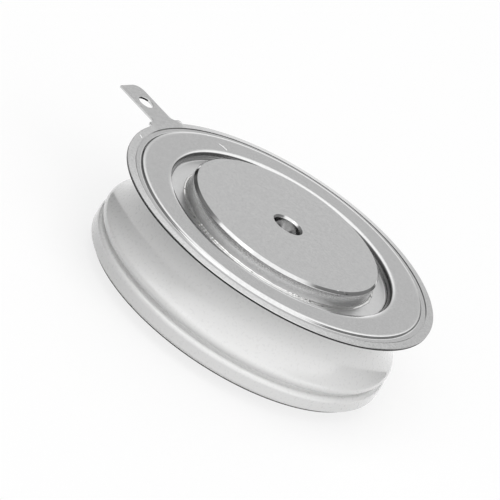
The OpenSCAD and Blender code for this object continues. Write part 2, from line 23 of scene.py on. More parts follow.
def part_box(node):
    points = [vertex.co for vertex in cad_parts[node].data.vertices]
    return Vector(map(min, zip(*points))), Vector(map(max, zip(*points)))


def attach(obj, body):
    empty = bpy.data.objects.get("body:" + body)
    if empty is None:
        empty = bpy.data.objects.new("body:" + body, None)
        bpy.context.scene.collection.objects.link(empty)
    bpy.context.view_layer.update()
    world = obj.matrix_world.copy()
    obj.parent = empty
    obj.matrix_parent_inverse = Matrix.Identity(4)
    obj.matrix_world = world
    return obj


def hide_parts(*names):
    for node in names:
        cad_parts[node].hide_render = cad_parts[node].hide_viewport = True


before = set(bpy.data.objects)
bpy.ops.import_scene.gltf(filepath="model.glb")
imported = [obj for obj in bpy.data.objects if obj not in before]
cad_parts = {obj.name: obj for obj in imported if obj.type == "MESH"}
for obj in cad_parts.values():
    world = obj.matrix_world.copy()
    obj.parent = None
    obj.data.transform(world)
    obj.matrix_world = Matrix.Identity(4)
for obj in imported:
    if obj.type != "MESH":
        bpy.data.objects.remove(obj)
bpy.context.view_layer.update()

MM = 0.001
BODY = "root"
GATE_DIRECTION = math.radians(150)

# How finely curves are drawn: steps of a full turn, and how far an arc's chords may cut inside it
TURN_STEPS = 256
SMALL_TURN_STEPS = 72
ARC_TOLERANCE = 0.0015
WIDEST_ARC_STEP = 22.5
# Distance from the ends of a straight stretch at which extra points keep it flat in shading
SUPPORT = 0.02
MERGE_DISTANCE = 1e-4
SHARP_ANGLE = math.radians(32)
# The stamped flange has wide flat faces, so its small edge breaks are shaded apart from them
FLAT_CREASE = math.radians(15)
# Faces whose normal rises less than this are walls
UPRIGHT = 0.3

log = logging.getLogger("thyristor")


class Slot(Enum):
    """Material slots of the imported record."""

    CERAMIC = "glazed_ceramic"
    FLANGE = "flange_sheet"
    DIAPHRAGM = "diaphragm_sheet"
    POLE = "plated_pole"
    BRAZE = "braze_alloy"
    FOIL = "silver_foil"
    MOLYBDENUM = "molybdenum"
    SILICON = "silicon"
    SILICONE = "silicone"
    PLASTIC = "white_plastic"
    INSULATOR = "insulating_ceramic"
    SPRING = "spring_wire"
    CONTACT = "plated_contact"
    LEAD = "lead_wire"


# Shaping


@dataclass(frozen=True)
class Corner:
    """Corner of a drawn section.

    Args:
        across: Distance from the axis.
        up: Height over the pen's seat.
        radius: Radius that rounds the corner, or 0 for a sharp one.
    """

    across: float
    up: float
    radius: float = 0.0

    @property
    def place(self) -> Vector:
        """The corner as a 2D vector."""
        return Vector((self.across, self.up))


class Pen:
    """Draws a section in the XZ plane edge by edge.

    Args:
        seat: Height at which the section's zero lies.
        outward: 1 if the section is drawn upward, -1 if it is drawn downward.
    """

    def __init__(self, seat: float = 0.0, outward: int = 1) -> None:
        self.bm = bmesh.new()
        self.seat = seat
        self.outward = outward
        self.at = Vector((0.0, 0.0))
        self.tip: BMVert | None = None

    def start(self, across: float, up: float) -> None:
        """Sets the pen down at a new point, at a distance from the axis and a height over the seat."""
        self.at = Vector((across, up))
        self.tip = bmesh.ops.create_vert(self.bm, co=self._world(self.at))["vert"][0]

    def line(self, end: Vector) -> None:
        """Draws a straight stretch, with a support point near each of its ends.

        Args:
            end: End of the stretch in the section.
        """
        stretch = end - self.at
        if stretch.length > 4 * SUPPORT:
            step = stretch.normalized() * SUPPORT
            for point in (self.at + step, end - step):
                self._edge_to(point)
        self._edge_to(end)

    def arc(self, centre: Vector, degrees: float) -> None:
        """Draws an arc that starts at the pen.

        Args:
            centre: Centre of the arc in the section.
            degrees: Angle of the arc, counter-clockwise if positive.
        """
        spoke = self.at - centre
        step = 2 * math.degrees(math.acos(max(0.0, 1.0 - ARC_TOLERANCE / spoke.length)))
        spun = bmesh.ops.spin(
            self.bm,
            geom=[self.tip],
            cent=self._world(centre),
            axis=(0.0, -self.outward, 0.0),
            dvec=(0.0, 0.0, 0.0),
            angle=math.radians(degrees),
            steps=max(2, math.ceil(abs(degrees) / min(step, WIDEST_ARC_STEP))),
        )
        self.tip = next(item for item in spun["geom_last"] if isinstance(item, BMVert))
        self.at = centre + Matrix.Rotation(math.radians(degrees), 2) @ spoke

    def path(self, *corners: Corner) -> None:
        """Draws straight stretches from corner to corner and rounds each by its own radius.

        Args:
            corners: Corners in order. The last one is the end of the path and stays sharp.
        """
        for corner, after in zip(corners, corners[1:] + (None,)):
            if after is None or corner.radius == 0.0:
                self.line(corner.place)
                continue
            along = (corner.place - self.at).normalized()
            onward = (after.place - corner.place).normalized()
            turn = math.atan2(along.x * onward.y - along.y * onward.x, along.dot(onward))
            entry = corner.place - along * corner.radius * math.tan(abs(turn) / 2)
            self.line(entry)
            side = Vector((-along.y, along.x)) * math.copysign(corner.radius, turn)
            self.arc(entry + side, math.degrees(turn))

    def turn(self, steps: int = TURN_STEPS) -> BMesh:
        """Spins what was drawn a full turn about Z, and closes its seam and poles.

        Args:
            steps: Number of steps of the turn.

        Returns:
            The turned mesh, in millimetres.
        """
        bmesh.ops.spin(
            self.bm,
            geom=self.bm.verts[:] + self.bm.edges[:],
            cent=(0.0, 0.0, 0.0),
            axis=(0.0, 0.0, 1.0),
            dvec=(0.0, 0.0, 0.0),
            angle=math.tau,
            steps=steps,
            use_merge=True,
        )
        close_up(self.bm)
        return self.bm

    def _world(self, place: Vector) -> Vector:
        """The point of the XZ plane for a place in the section."""
        return Vector((place.x, 0.0, self.seat + self.outward * place.y))

    def _edge_to(self, place: Vector) -> None:
        """Draws one edge from the tip to a place in the section."""
        self.tip = bmesh.ops.extrude_vert_indiv(self.bm, verts=[self.tip])["verts"][0]
        self.tip.co = self._world(place)
        self.at = place


def turned(
    *corners: Corner, seat: float = 0.0, outward: int = 1, steps: int = TURN_STEPS, closed: bool = False
) -> BMesh:
    """Turns a section that is given by its corners.

    Args:
        corners: Corners in order, from the axis back to the axis unless the section is closed.
        seat: Height at which the section's zero lies.
        outward: 1 if the section is drawn upward, -1 if it is drawn downward.
        steps: Number of steps of the turn.
        closed: Whether the section runs on from its last corner to its first.

    Returns:
        The turned mesh, in millimetres.
    """
    if closed:
        first, last = corners[0], corners[-1]
        middle = Corner((first.across + last.across) / 2, (first.up + last.up) / 2)
        corners = (middle, *corners, middle)
    pen = Pen(seat, outward)
    pen.start(corners[0].across, corners[0].up)
    pen.path(*corners[1:])
    return pen.turn(steps)


def close_up(bm: BMesh) -> None:
    """Merges doubled vertices and faces the mesh outward."""
    bmesh.ops.remove_doubles(bm, verts=bm.verts, dist=MERGE_DISTANCE)
    bmesh.ops.recalc_face_normals(bm, faces=bm.faces)


def rotate(bm: BMesh, angle: float, axis: str) -> None:
    """Rotates a mesh by an angle in radians about an axis through the origin."""
    bmesh.ops.rotate(bm, cent=(0, 0, 0), matrix=Matrix.Rotation(angle, 3, axis), verts=bm.verts)


def split_at(bm: BMesh, place: tuple[float, ...], normal: tuple[float, ...]) -> None:
    """Splits the faces of a mesh along a plane, given by a point and its normal."""
    everything = bm.verts[:] + bm.edges[:] + bm.faces[:]
    bmesh.ops.bisect_plane(bm, geom=everything, plane_co=place, plane_no=normal, dist=MERGE_DISTANCE)


def mark_faces(bm: BMesh, chosen: Callable[[float, Vector, Vector], bool]) -> None:
    """Gives the second finish to some faces of a mesh, and the first one to the others.

    Args:
        bm: The mesh.
        chosen: Test of a face by the distance of its middle from the axis, its middle and its normal.
    """
    for face in bm.faces:
        middle = face.calc_center_median()
        face.material_index = int(chosen(math.hypot(middle.x, middle.y), middle, face.normal))


def add_object(name: str, data: bpy.types.ID) -> Object:
    """Adds an object to the scene.

    Args:
        name: Name of the object.
        data: Its mesh, lamp or camera.

    Returns:
        The new object.
    """
    thing = bpy.data.objects.new(name, data)
    bpy.context.scene.collection.objects.link(thing)
    return thing


def as_object(bm: BMesh, name: str) -> Object:
    """Moves a mesh, which is freed, to a new object of the scene.

    Args:
        bm: The mesh.
        name: Name of the object and of its data.

    Returns:
        The new object.
    """
    mesh = bpy.data.meshes.new(name)
    bm.to_mesh(mesh)
    bm.free()
    return add_object(name, mesh)


def finish_piece(
    bm: BMesh,
    name: str,
    node: str,
    *finishes: "Finish",
    place: Matrix | None = None,
    crease: float = SHARP_ANGLE,
) -> Object:
    """Brings a mesh to metres and its place, dresses it and ties it to the frame.

    Args:
        bm: The mesh, in millimetres. It is freed.
        name: Name of the piece.
        node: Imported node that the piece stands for.
        finishes: Finishes in the order of the mesh's material numbers.
        place: Where the mesh goes, in millimetres, or None if it is there already.
        crease: Angle from which an edge is shaded sharp.

    Returns:
        The new object.
    """
    bmesh.ops.transform(bm, matrix=Matrix.Scale(MM, 4) @ (place or Matrix()), verts=bm.verts)
    for face in bm.faces:
        face.smooth = True
    for edge in bm.edges:
        edge.smooth = edge.calc_face_angle(math.pi) < crease
    piece = as_object(bm, name)
    for finish in finishes:
        piece.data.materials.append(finish.material())
    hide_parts(node)
    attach(piece, BODY)
    return piece


def cut_away(bm: BMesh, *cutters: BMesh) -> BMesh:
    """Cuts closed shapes out of a mesh.

    Args:
        bm: The mesh that is cut. It is freed.
        cutters: Closed shapes. They are freed.

    Returns:
        A new mesh of what is left.
    """
    scratch = [as_object(source, f"cutting_{number}") for number, source in enumerate((bm, *cutters))]
    body = scratch[0]
    for cutter in scratch[1:]:
        knife = body.modifiers.new(cutter.name, "BOOLEAN")
        knife.operation = "DIFFERENCE"
        knife.solver = "EXACT"
        knife.object = cutter
    seen = body.evaluated_get(bpy.context.evaluated_depsgraph_get())
    result = bmesh.new()
    result.from_mesh(seen.to_mesh())
    seen.to_mesh_clear()
    for thing in scratch:
        mesh = thing.data
        bpy.data.objects.remove(thing)
        bpy.data.meshes.remove(mesh)
    return result


@cache
def box_mm(node: str) -> tuple[Vector, Vector]:
    """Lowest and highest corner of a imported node, in millimetres."""
    low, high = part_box(node)
    return Vector(low) / MM, Vector(high) / MM


# Wiring of materials


class Graph:
    """Adds nodes to a tree and joins them.

    Args:
        tree: The node tree of a material, a world or a group.
    """

    def __init__(self, tree: NodeTree) -> None:
        self.tree = tree

    def add(self, kind: str, sockets: dict | None = None, **settings: object) -> Node:
        """Adds a node.

        Args:
            kind: The node's type without its leading words.
            sockets: What each input is set to, or the output that is linked to it.
            settings: Properties of the node.

        Returns:
            The node.
        """
        node = self.tree.nodes.new("ShaderNode" + kind)
        for name, value in settings.items():
            setattr(node, name, value)
        for name, value in (sockets or {}).items():
            self.feed(node.inputs[name], value)
        return node

    def feed(self, socket: NodeSocket, value: object) -> None:
        """Links an output to an input, or sets the input to a plain value."""
        if isinstance(value, NodeSocket):
            self.tree.links.new(value, socket)
        else:
            socket.default_value = value

    def math(self, operation: str, *values: object) -> NodeSocket:
        """Adds a Math node and returns its output."""
        return self.add("Math", dict(enumerate(values)), operation=operation).outputs[0]

    def times(self, first: object, second: object) -> NodeSocket:
        """Multiplies two values."""
        return self.math("MULTIPLY", first, second)

    def vector(self, operation: str, *values: object) -> NodeSocket:
        """Adds a Vector Math node and returns its output, a number where the operation gives one."""
        node = self.add("VectorMath", dict(enumerate(values)), operation=operation)
        return node.outputs["Value" if operation in ("LENGTH", "DISTANCE", "DOT_PRODUCT") else "Vector"]

    def scale(self, vector: object, factor: object) -> NodeSocket:
        """Scales a vector or a colour by a factor."""
        return self.add("VectorMath", {0: vector, 3: factor}, operation="SCALE").outputs[0]

    def span(
        self, value: object, low: object, high: object, start: float = 0.0, end: float = 1.0
    ) -> NodeSocket:
        """Runs smoothly from one level to another while a value goes from low to high.

        Args:
            value: The value that is looked up.
            low: Where the change starts.
            high: Where the change ends.
            start: Level at the start.
            end: Level at the end.

        Returns:
            The level as an output.
        """
        sockets = {"Value": value, "From Min": low, "From Max": high, "To Min": start, "To Max": end}
        return self.add("MapRange", sockets, interpolation_type="SMOOTHSTEP").outputs["Result"]

    def swing(self, tone: object, amount: float) -> NodeSocket:
        """Turns a noise's tone into a factor that swings about 1 by an amount."""
        return self.span(tone, 0.3, 0.7, 1.0 - amount, 1.0 + amount)

    def mix(self, factor: object, low: object, high: object) -> NodeSocket:
        """Mixes two values and returns the output."""
        return self.add("Mix", {0: factor, 2: low, 3: high}, data_type="FLOAT").outputs[0]

    def millimetres(self) -> NodeSocket:
        """Object coordinates in millimetres."""
        return self.scale(self.add("TexCoord").outputs["Object"], 1.0 / MM)

    def radius_and_height(self, place: object) -> tuple[NodeSocket, NodeSocket]:
        """Splits a place into its distance from the axis and its height.

        Args:
            place: The place as an output.

        Returns:
            Outputs of the distance and the height.
        """
        split = self.add("SeparateXYZ", {0: place}).outputs
        flat = self.add("CombineXYZ", {"X": split["X"], "Y": split["Y"]}).outputs[0]
        return self.vector("LENGTH", flat), split["Z"]

    def noise(self, place: object, scale: object, detail: float) -> NodeSocket:
        """Noise from 0 to 1 over a place in millimetres, with a scale per millimetre."""
        return self.add("TexNoise", {"Vector": place, "Scale": scale, "Detail": detail}).outputs["Fac"]

    def place(self, group: NodeTree, **values: object) -> bpy.types.bpy_prop_collection:
        """Places a node group, with a value for each of its inputs.

        Args:
            group: The group's tree.
            values: Values of the inputs, by their names.

        Returns:
            The outputs of the group's node.
        """
        node = self.tree.nodes.new("ShaderNodeGroup")
        node.node_tree = group
        for name, value in values.items():
            node.inputs[name].default_value = value
        return node.outputs


class Effect(Graph):
    """Graph of a node group that materials share, wired from its inputs to its outputs.

    Args:
        name: Name of the group.
        inputs: Input names with their default values, numbers or vectors.
    """

    def __init__(self, name: str, **inputs: object) -> None:
        super().__init__(bpy.data.node_groups.new(name, "ShaderNodeTree"))
        for label, value in inputs.items():
            kind = "NodeSocketFloat" if isinstance(value, float) else "NodeSocketVector"
            socket = self.tree.interface.new_socket(label, in_out="INPUT", socket_type=kind)
            socket.default_value = value
        self.given = self.tree.nodes.new("NodeGroupInput").outputs

    def put_out(self, **values: object) -> NodeTree:
        """Joins values to outputs of the group.

        Args:
            values: Values by the names of their outputs.

        Returns:
            The group's tree.
        """
        for label in values:
            self.tree.interface.new_socket(label, in_out="OUTPUT", socket_type="NodeSocketFloat")
        result = self.tree.nodes.new("NodeGroupOutput")
        for label, value in values.items():
            self.feed(result.inputs[label], value)
        return self.tree


@cache
def grain_effect() -> NodeTree:
    """Fine grain of a satin surface.

    Returns:
        Group that puts out the height in millimetres, and the tone from 0 to 1.
    """
    group = Effect("Satin grain", Scale=6.0, Depth=0.001)
    tone = group.noise(group.millimetres(), group.given["Scale"], 4.0)
    return group.put_out(Height=group.times(tone, group.given["Depth"]), Tone=tone)


@cache
def turning_effect() -> NodeTree:
    """Rings that a lathe leaves on faces and on sides.

    Returns:
        Group that puts out the height in millimetres, and the tone from 0 to 1.
    """
    group = Effect("Turned rings", Pitch=0.3, Depth=0.001)
    along = group.math("ADD", *group.radius_and_height(group.millimetres()))
    count = group.math("DIVIDE", along, group.given["Pitch"])
    rings = group.add("TexNoise", {"W": count, "Scale": 1.0, "Detail": 3.0}, noise_dimensions="1D")
    tone = rings.outputs["Fac"]
    return group.put_out(Height=group.times(tone, group.given["Depth"]), Tone=tone)


@cache
def blotch_effect() -> NodeTree:
    """Soft uneven patches of plating or glaze.

    Returns:
        Group that puts out a factor about 1.
    """
    group = Effect("Soft patches", Scale=0.25, Contrast=0.1)
    tone = group.noise(group.millimetres(), group.given["Scale"], 3.0)
    swing = group.times(group.math("SUBTRACT", tone, 0.5), group.given["Contrast"])
    return group.put_out(Factor=group.math("ADD", swing, 1.0))


@cache
def scratch_effect() -> NodeTree:
    """Fine straight handling scratches: stretched noise, broken up by a coarser one.

    Returns:
        Group that puts out a mask.
    """
    group = Effect("Fine scratches", Turn=0.5, Amount=0.5)
    aligned = {"Vector": group.millimetres(), "Angle": group.given["Turn"]}
    place = group.add("VectorRotate", aligned, rotation_type="Z_AXIS").outputs[0]
    stretch = (0.12, 9.0, 1.0)
    lines = group.span(group.noise(group.vector("MULTIPLY", place, stretch), 1.0, 1.0), 0.68, 0.74)
    broken = group.span(group.noise(place, 0.5, 2.0), 0.5, 0.62)
    return group.put_out(Mask=group.times(group.times(lines, broken), group.given["Amount"]))


@cache
def speck_effect() -> NodeTree:
    """Small round specks in some cells of a scattered pattern.

    Returns:
        Group that puts out a mask.
    """
    group = Effect("Specks", Scale=1.0, Size=0.08)
    cells = group.add("TexVoronoi", {"Vector": group.millimetres(), "Scale": group.given["Scale"]}).outputs
    size = group.times(group.given["Size"], group.given["Scale"])
    full_within, chosen_over = 0.6, 0.7
    inside = group.span(cells["Distance"], group.times(size, full_within), size, 1.0, 0.0)
    return group.put_out(Mask=group.times(inside, group.math("GREATER_THAN", cells["Color"], chosen_over)))


@cache
def band_effect() -> NodeTree:
    """Ring-shaped zone between two radii and two heights, with soft uneven edges.

    Returns:
        Group that puts out a mask.
    """
    group = Effect("Ring zone", Inner=0.0, Outer=1.0, Low=0.0, High=1.0, Soft=0.05, Uneven=0.02)
    given, soft = group.given, group.given["Soft"]
    place = group.millimetres()
    shift = group.times(group.math("SUBTRACT", group.noise(place, 1.3, 3.0), 0.5), given["Uneven"])
    masks = []
    for value, low, high in zip(group.radius_and_height(place), ("Inner", "Low"), ("Outer", "High")):
        moved = group.math("ADD", value, shift)
        rise = group.span(moved, group.math("SUBTRACT", given[low], soft), given[low])
        fall = group.span(moved, given[high], group.math("ADD", given[high], soft), 1.0, 0.0)
        masks.append(group.times(rise, fall))
    return group.put_out(Mask=group.times(*masks))


@cache
def nick_effect() -> NodeTree:
    """One scratch or nick between two points, seen from above.

    Returns:
        Group that puts out a mask.
    """
    group = Effect("Single nick", Start=(0.0, 0.0, 0.0), End=(1.0, 0.0, 0.0), Width=0.05)
    start, end = group.given["Start"], group.given["End"]
    place = group.vector("MULTIPLY", group.millimetres(), (1.0, 1.0, 0.0))
    line = group.vector("SUBTRACT", end, start)
    reach = group.vector("SUBTRACT", place, start)
    share = group.math("DIVIDE", *(group.vector("DOT_PRODUCT", side, line) for side in (reach, line)))
    nearest = group.scale(line, group.add("Clamp", {"Value": share}).outputs[0])
    gap = group.vector("DISTANCE", reach, nearest)
    return group.put_out(Mask=group.span(gap, 0.0, group.given["Width"], 1.0, 0.0))


# Finishes


@dataclass
class Layers:
    """Wiring of a finish before it reaches the shader, which its marks change one by one.

    Args:
        graph: Graph of the material.
        shader: Principled node of the material.
        height: Output of the height in millimetres.
        tone: Output of the factor on the colour.
        rough: Output of the roughness.
        gloss: Share of the clear coat that is left, or None for a finish without one.
    """

    graph: Graph
    shader: Node
    height: NodeSocket
    tone: NodeSocket
    rough: NodeSocket
    gloss: object = None

    def mark(self, mask: object, tone: float, depth: float = 0.0, roughness: float | None = None) -> None:
        """Lays a mark over the finish.

        Args:
            mask: Output of the mark's mask.
            tone: Factor on the colour.
            depth: How deep the mark lies.
            roughness: Roughness of a mark that is bare and matt or polished, or None for no change.
        """
        self.tone = self.graph.times(self.tone, self.graph.mix(mask, 1.0, tone))
        if depth:
            self.height = self.graph.math("MULTIPLY_ADD", mask, -depth, self.height)
        if roughness is not None:
            self.rough = self.graph.mix(mask, self.rough, roughness)
            if self.gloss is not None:
                self.gloss = self.graph.mix(mask, self.gloss, 0.0)


@dataclass(frozen=True)
class Zone:
    """Ring-shaped zone of a finish that is toned and roughened in its own way, without clear coat.

    Args:
        inner: Inner radius.
        outer: Outer radius.
        low: Lowest height.
        high: Highest height.
        tone: Factor on the colour.
        roughness: Roughness in the zone.
        soft: Width of the zone's edges.
        uneven: How far the edges wander.
    """

    inner: float
    outer: float
    low: float
    high: float
    tone: float
    roughness: float
    soft: float = 0.04
    uneven: float = 0.05

    def lay(self, layers: Layers) -> None:
        """Lays the zone over a finish."""
        mask = layers.graph.place(
            band_effect(), Inner=self.inner, Outer=self.outer, Low=self.low, High=self.high,
            Soft=self.soft, Uneven=self.uneven,
        )["Mask"]
        layers.mark(mask, self.tone, roughness=self.roughness)


@dataclass(frozen=True)
class Nick:
    """One scratch or nick on a finish, seen from above.

    Args:
        start: X and Y of one end.
        end: X and Y of the other end.
        width: Distance over which it fades.
        depth: Depth of the groove.
        tone: Factor on the colour.
    """

    start: tuple[float, float]
    end: tuple[float, float]
    width: float
    depth: float
    tone: float

    def lay(self, layers: Layers) -> None:
        """Lays the nick over a finish."""
        start, end = (*self.start, 0.0), (*self.end, 0.0)
        mask = layers.graph.place(nick_effect(), Start=start, End=end, Width=self.width)["Mask"]
        layers.mark(mask, self.tone, self.depth)


@dataclass(frozen=True)
class Specks:
    """Scattered small specks, pits or pinholes of a finish.

    Args:
        scale: Specks per millimetre.
        size: Radius of a speck.
        tone: Factor on the colour.
        depth: How deep they lie.
    """

    scale: float
    size: float
    tone: float
    depth: float = 0.0

    def lay(self, layers: Layers) -> None:
        """Lays the specks over a finish."""
        mask = layers.graph.place(speck_effect(), Scale=self.scale, Size=self.size)["Mask"]
        layers.mark(mask, self.tone, self.depth)


@dataclass(frozen=True)
class Finish:
    """Surface finish shared by all kinds: colour, gloss, grain, marks and the slot it belongs to.

    Args:
        name: Name of the material.
        slot: Slot of the record that it stands for; not used.
        colour: Red, green and blue, linear.
        roughness: Mean roughness.
        grain_scale: Grains per millimetre.
        grain_depth: Height of the grain.
        grain_gloss: How far the grain changes the roughness.
        patch_scale: Patches per millimetre.
        patch_contrast: How far the patches change the colour.
        mottle: How far the grain changes the colour.
        marks: Specks, zones and nicks, each laid over the ones before it.
    """

    name: str
    slot: Slot
    colour: tuple[float, float, float]
    roughness: float
    grain_scale: float = 6.0
    grain_depth: float = 0.001
    grain_gloss: float = 0.12
    patch_scale: float = 0.25
    patch_contrast: float = 0.1
    mottle: float = 0.03
    marks: tuple[Zone | Nick | Specks, ...] = ()

    def material(self) -> Material:
        """Makes the material when it is first asked for.

        Returns:
            The material.
        """
        known = bpy.data.materials.get(self.name)
        if known is not None:
            return known
        material = bpy.data.materials.new(self.name)
        material.use_nodes = True
        layers = self.base(Graph(material.node_tree), material.node_tree.nodes["Principled BSDF"])
        self.detail(layers)
        for mark in self.marks:
            mark.lay(layers)
        self.join(layers)
        return material

    def base(self, graph: Graph, shader: Node) -> Layers:
        """Wires what every finish has: patches on the colour, grain in roughness and height.

        Args:
            graph: Graph of the material.
            shader: Principled node of the material.

        Returns:
            The first layers.
        """
        grain = graph.place(grain_effect(), Scale=self.grain_scale, Depth=self.grain_depth)
        patches = graph.place(blotch_effect(), Scale=self.patch_scale, Contrast=self.patch_contrast)
        factor = patches["Factor"]
        uneven = graph.times(graph.swing(grain["Tone"], self.grain_gloss), factor)
        rough = graph.times(uneven, self.roughness)
        tone = graph.times(factor, graph.swing(grain["Tone"], self.mottle))
        return Layers(graph, shader, grain["Height"], tone, rough)

    def detail(self, layers: Layers) -> None:
        """Adds what only this kind of finish has."""

    def join(self, layers: Layers) -> None:
        """Joins the layers to the shader.

        Args:
            layers: Wiring of the finish.
        """
        graph, shader = layers.graph, layers.shader
        graph.feed(shader.inputs["Base Color"], graph.scale(self.colour, layers.tone))
        graph.feed(shader.inputs["Roughness"], layers.rough)
        bump = graph.add("Bump", {"Height": layers.height, "Distance": MM, "Strength": 1.0})
        graph.feed(shader.inputs["Normal"], bump.outputs["Normal"])


@dataclass(frozen=True)
class MetalFinish(Finish):
    """Plated, turned, brazed or drawn metal.

    Args:
        ring_pitch: Spacing of turned rings, or 0 for none.
        ring_depth: Depth of those rings.
        ring_contrast: How far the rings change the roughness.
        scratches: Strength of fine handling scratches.
        scratch_turns: Directions of the scratches, in radians.
        scratch_roughness: Factor on the roughness in them.
        scratch_tone: How far they lighten the colour.
    """

    ring_pitch: float = 0.0
    ring_depth: float = 0.0005
    ring_contrast: float = 0.2
    scratches: float = 0.0
    scratch_turns: tuple[float, ...] = (0.4, 1.9)
    scratch_roughness: float = 1.8
    scratch_tone: float = 0.05

    def detail(self, layers: Layers) -> None:
        """Adds turned rings and fine scratches.

        Args:
            layers: Wiring of the finish.
        """
        graph = layers.graph
        layers.shader.inputs["Metallic"].default_value = 1.0
        if self.ring_pitch:
            rings = graph.place(turning_effect(), Pitch=self.ring_pitch, Depth=self.ring_depth)
            layers.height = graph.math("ADD", layers.height, rings["Height"])
            layers.rough = graph.times(layers.rough, graph.swing(rings["Tone"], self.ring_contrast))
        if self.scratches:
            dulled = min(1.0, self.roughness * self.scratch_roughness)
            for turn in self.scratch_turns:
                mask = graph.place(scratch_effect(), Turn=turn, Amount=self.scratches)["Mask"]
                layers.rough = graph.mix(mask, layers.rough, dulled)
                layers.tone = graph.math("MULTIPLY_ADD", mask, self.scratch_tone, layers.tone)


@dataclass(frozen=True)
class GlazeFinish(Finish):
    """Glossy glaze over a fired white body, bare and matt in its zones.

    Args:
        coat_roughness: Roughness of the clear coat.
        ripple_scale: Ripples of the glaze per millimetre.
        ripple_depth: Height of those ripples.
    """

    coat_roughness: float = 0.05
    ripple_scale: float = 0.35
    ripple_depth: float = 0.01

    def detail(self, layers: Layers) -> None:
        """Adds the coat and its slow ripples.

        Args:
            layers: Wiring of the finish.
        """
        graph = layers.graph
        layers.shader.inputs["Coat Roughness"].default_value = self.coat_roughness
        layers.gloss = 1.0
        ripples = graph.place(grain_effect(), Scale=self.ripple_scale, Depth=self.ripple_depth)
        layers.height = graph.math("ADD", layers.height, ripples["Height"])

    def join(self, layers: Layers) -> None:
        """Joins the layers and the coat to the shader."""
        super().join(layers)
        layers.graph.feed(layers.shader.inputs["Coat Weight"], layers.gloss)


@dataclass(frozen=True)
class MouldedFinish(Finish):
    """Moulded or cast material with a faint mottle, such as plastic, silicone or a fired insulator.

    Args:
        specular: Level of the specular reflection.
    """

    specular: float = 0.4

    def detail(self, layers: Layers) -> None:
        """Sets the specular reflection."""
        layers.shader.inputs["Specular IOR Level"].default_value = self.specular


# Finishes of this cell

CERAMIC = GlazeFinish(
    "glazed_white", Slot.CERAMIC, (0.84, 0.84, 0.835), 0.3, grain_scale=3.0, grain_depth=0.0004,
    patch_scale=0.12, patch_contrast=0.03, mottle=0.006,
    marks=(
        Specks(0.5, 0.06, 0.92, 0.01),
        Zone(0.0, 18.2, 12.0, 12.4, 0.9, 0.6),
        Zone(0.0, 17.9, 0.0, 12.4, 0.92, 0.6),
    ),
)
FLANGE_SHEET = MetalFinish(
    "satin_flange", Slot.FLANGE, (0.64, 0.64, 0.64), 0.15, grain_scale=3.5, mottle=0.05, scratches=0.4,
    patch_scale=0.9, patch_contrast=0.08,
    # A real nick on the rim, lightened in colour as a painted highlight
    marks=(Nick((-19.2, -7.45), (-18.6, -7.8), 0.1, 0.01, 1.5),),
)
# Near-black: painted shade for the shadow gaps and dark reflections along the sheet edges, over their real
# rough torn surface
SHADED_SHEARED_EDGE = MetalFinish(
    "sheared_edge_painted_shade", Slot.FLANGE, (0.03, 0.03, 0.03), 0.5, grain_scale=8.0, grain_depth=0.004,
    patch_contrast=0.3,
)
DIAPHRAGM_SHEET = MetalFinish(
    "satin_diaphragm", Slot.DIAPHRAGM, (0.64, 0.64, 0.64), 0.13, grain_scale=3.5, mottle=0.03,
    scratches=0.4, patch_scale=0.9, patch_contrast=0.08,
    marks=(
        Zone(12.6, 14.75, 11.8, 11.9, 1.0, 0.35),
        # Dark band along the top of the recess wall: a painted dark reflection
        Zone(14.8, 15.3, 12.45, 12.7, 0.35, 0.2, soft=0.05, uneven=0.04),
    ),
)
WORN_DIAPHRAGM_PAINTED_GLINTS = replace(
    DIAPHRAGM_SHEET,
    name="worn_diaphragm_painted_glints",
    marks=(
        *DIAPHRAGM_SHEET.marks,
        # These nicks lighten the colour: real small dents, with painted highlights for their glints
        Nick((-16.3, 5.8), (-15.2, 6.0), 0.1, 0.01, 1.5),
        Nick((-15.9, 6.1), (-15.0, 5.9), 0.07, 0.01, 1.4),
        Nick((-18.0, 5.3), (-17.9, 5.35), 0.1, 0.01, 1.4),
    ),
)
POLE_FACE = MetalFinish(
    "plated_pole_face", Slot.POLE, (0.64, 0.64, 0.64), 0.2, grain_scale=3.0, mottle=0.025, scratches=0.3,
    patch_scale=1.4, patch_contrast=0.1,
    marks=(
        # Darker inside the centring holes of both poles: painted shade
        Zone(0.0, 1.8, 10.0, 13.65, 0.75, 0.15),
        Zone(0.0, 1.8, 0.35, 4.0, 0.75, 0.15),
        Zone(12.35, 12.75, 13.6, 13.94, 0.95, 0.12, soft=0.03, uneven=0.0),
        Nick((-11.5, 5.15), (-11.4, 5.25), 0.14, 0.01, 0.35),
        Nick((-11.35, -3.65), (-11.25, -3.65), 0.12, 0.005, 0.7),
        # These two nicks lighten the colour: real dents with painted highlights for their glints
        Nick((11.7, -3.9), (11.8, -3.8), 0.1, 0.01, 1.6),
        Nick((12.1, -2.9), (12.15, -2.8), 0.1, 0.01, 1.6),
        Nick((12.35, -2.6), (12.4, -2.4), 0.12, 0.02, 0.3),
    ),
)
# Same nickel plating as the face, set lighter in colour: painted light on the turned side
POLE_SIDE = MetalFinish(
    "plated_pole_side", Slot.POLE, (0.74, 0.74, 0.74), 0.24, grain_depth=0.0006, ring_pitch=0.45,
    ring_depth=0.0007, patch_scale=0.7, patch_contrast=0.08, marks=(Specks(0.8, 0.1, 0.4),),
)
BRAZE = MetalFinish(
    "braze_silver", Slot.BRAZE, (0.74, 0.74, 0.73), 0.22, grain_scale=4.0, grain_depth=0.015,
    marks=(Specks(2.2, 0.18, 0.15),),
)
TUBE_METAL = MetalFinish("drawn_tube", Slot.FLANGE, (0.6, 0.6, 0.6), 0.3, ring_pitch=0.1)
CONTACT = MetalFinish("contact_plating", Slot.CONTACT, (0.74, 0.72, 0.66), 0.2, ring_pitch=0.12)
FOIL = MetalFinish("rolled_silver", Slot.FOIL, (0.88, 0.87, 0.85), 0.18, scratches=0.4)
